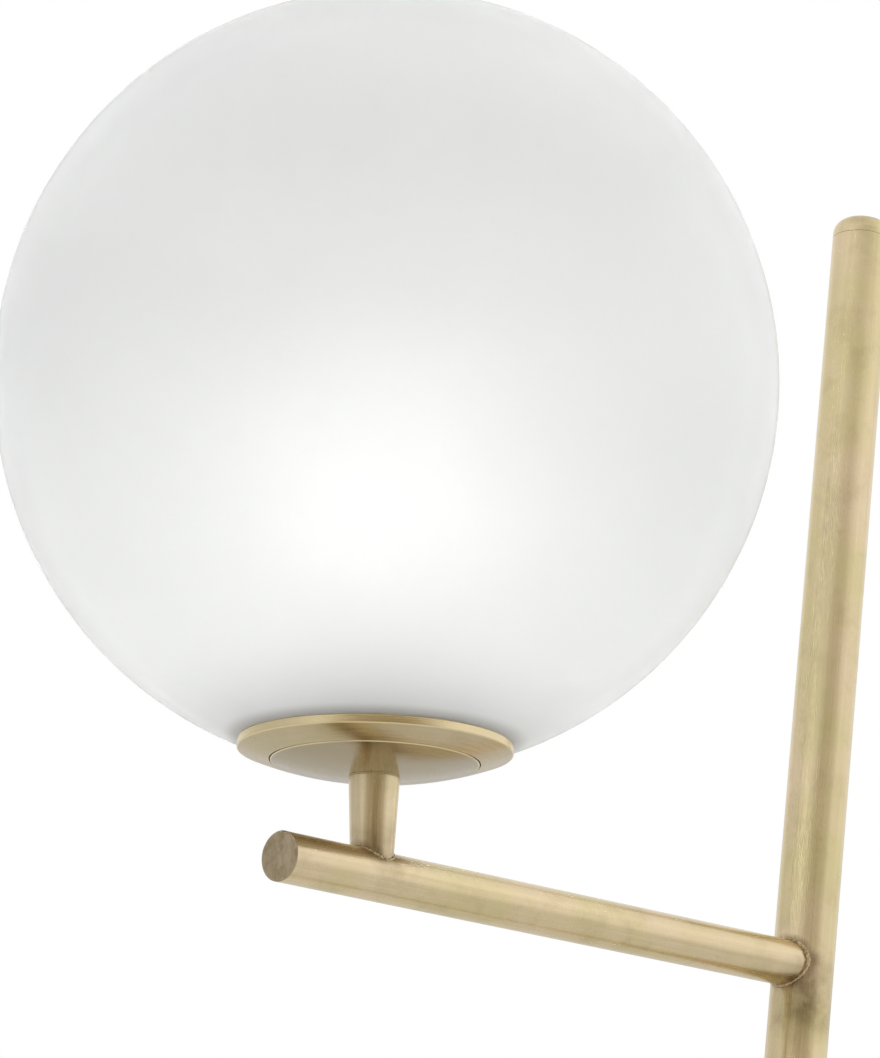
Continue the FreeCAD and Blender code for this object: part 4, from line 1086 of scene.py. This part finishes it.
def towards(sky, heading, side, start, full, light):
    """1 away from a side, eased to that side's light as the cosine of the angle to it rises."""
    cosine = sky.vector("DOT_PRODUCT", heading, side)
    return sky.span(cosine, start, full, 1.0, light, way="SMOOTHSTEP")


def white_world():
    """Strength falls near four directions. Heights count SQUASH times in the angle to the first
    three, so they fade a little above the horizon."""
    world = bpy.data.worlds.new("studio")
    bpy.context.scene.world = world
    world.use_nodes = True
    world.node_tree.nodes.clear()
    sky = Nodes(world.node_tree)
    way = sky.place.outputs["Generated"]
    squashed = sky.vector("NORMALIZE", sky.vector("MULTIPLY", way, (1.0, 1.0, SQUASH)))
    dim = sky.span(sky.vector("DOT_PRODUCT", squashed, DIM_SIDE), 0.44, 0.89, way="SMOOTHSTEP")
    left = towards(sky, squashed, LEFT_SIDE, 0.35, 0.95, LEFT_LIGHT)
    back = towards(sky, squashed, BACK_SIDE, 0.70, 0.95, BACK_LIGHT)
    above = towards(sky, way, OVERHEAD, 0.35, 1.0, OVERHEAD_LIGHT)
    room, plain = (world.node_tree.nodes.new("ShaderNodeBackground") for _ in range(2))
    path, mix, out = (world.node_tree.nodes.new(kind) for kind in (
        "ShaderNodeLightPath", "ShaderNodeMixShader", "ShaderNodeOutputWorld"))
    seen = sky.maths("MAXIMUM", path.outputs["Is Glossy Ray"], path.outputs["Is Transmission Ray"])
    sky.link(sky.blend(dim, (1.0, 1.0, 1.0), DIM_COLOUR), room.inputs["Color"])
    room_light = sky.span(seen, 0.0, 1.0, ROOM_STRENGTH, 1.0)
    sides = sky.maths("MULTIPLY", left, back)
    strength = sky.maths("MULTIPLY", sides, sky.maths("MULTIPLY", above, room_light))
    sky.link(strength, room.inputs["Strength"])
    plain.inputs["Color"].default_value = (1, 1, 1, 1)
    sky.link(path.outputs["Is Camera Ray"], mix.inputs["Fac"])
    sky.link(room.outputs[0], mix.inputs[1])
    sky.link(plain.outputs[0], mix.inputs[2])
    sky.link(mix.outputs[0], out.inputs["Surface"])
    print("room light to the left, behind, above:", LEFT_LIGHT, BACK_LIGHT, OVERHEAD_LIGHT)


white_world()

# %% floor and lamp
FLOOR_R = 16.0
FLOOR_FADE = (7.5, 15.0)
FLOOR_SHEET = 20 * MM
FLOOR_GAP = 0.4 * MM
KEY_AT = Vector((1.6, -1.2, 3.2))
KEY_AIM = Vector((0, 0, 1.1))
KEY_SIZE = 3.0
KEY_WATTS = 3.5


def pale_floor():
    """Disc under the lamp: pale paper that fades to the backdrop's white far out."""
    paper = Recipe("floor_paper", Roughness=0.85)
    fibres = paper.noise(paper.place.outputs["Object"], scale=260, detail=4)
    paper.colour(paper.blend(paper.span(fibres, 0.3, 0.7), srgb(239, 239, 237), srgb(243, 243, 241)))
    glow = paper.tree.nodes.new("ShaderNodeEmission")
    mix = paper.tree.nodes.new("ShaderNodeMixShader")
    far = paper.nearness((0, 0, 0), *FLOOR_FADE)
    paper.link(far, mix.inputs["Fac"])
    paper.link(glow.outputs[0], mix.inputs[1])
    paper.link(paper.shader.outputs[0], mix.inputs[2])
    paper.link(mix.outputs[0], paper.tree.nodes["Material Output"].inputs["Surface"])
    section = [(0, -FLOOR_GAP), (FLOOR_R, -FLOOR_GAP), (FLOOR_R, -FLOOR_SHEET), (0, -FLOOR_SHEET)]
    disc = turned("floor", section, paper.material, columns=96, longest=2.0)


def key_light():
    lamp = bpy.data.lights.new("key", "AREA")
    lamp.shape = "DISK"
    lamp.size = KEY_SIZE
    lamp.energy = KEY_WATTS
    holder = bpy.data.objects.new("key", lamp)
    holder.location = KEY_AT
    holder.rotation_euler = (KEY_AIM - KEY_AT).to_track_quat("-Z", "Y").to_euler()
    bpy.context.scene.collection.objects.link(holder)


pale_floor()
key_light()

# %% [markdown]
# The photograph looks up at the lamp's head from its left front. Position and direction were
# worked out from the globe, the rim, the tubes and their ends in an 880 x 1058 picture.

# %% camera
PICTURE_HEIGHT = 1058
FOCAL_PIXELS = 4578.84
SENSOR = 36.0
CAMERA_AT = TO_GLOBE + np.array([-1184.31, -1194.85, -499.18]) * MM
CAMERA_RIGHT = (0.69555, -0.71795, 0.02753)
CAMERA_FORWARD = (0.68976, 0.67799, 0.25407)


def camera():
    """Focal length in mm: pixels / picture height x sensor. The three axes of the camera are
    the columns of its matrix: right, up = right x forward, and back."""
    eye = bpy.data.cameras.new("camera")
    eye.sensor_width = SENSOR
    eye.lens = FOCAL_PIXELS / PICTURE_HEIGHT * SENSOR
    holder = bpy.data.objects.new("camera", eye)
    right = Vector(CAMERA_RIGHT).normalized()
    forward = Vector(CAMERA_FORWARD).normalized()
    up = right.cross(forward)
    holder.matrix_world = Matrix.Translation(CAMERA_AT) @ Matrix((right, up, -forward)).transposed().to_4x4()
    bpy.context.scene.collection.objects.link(holder)
    bpy.context.scene.camera = holder
    print("camera at", CAMERA_AT, "with a lens of", round(eye.lens, 1), "mm")


camera()
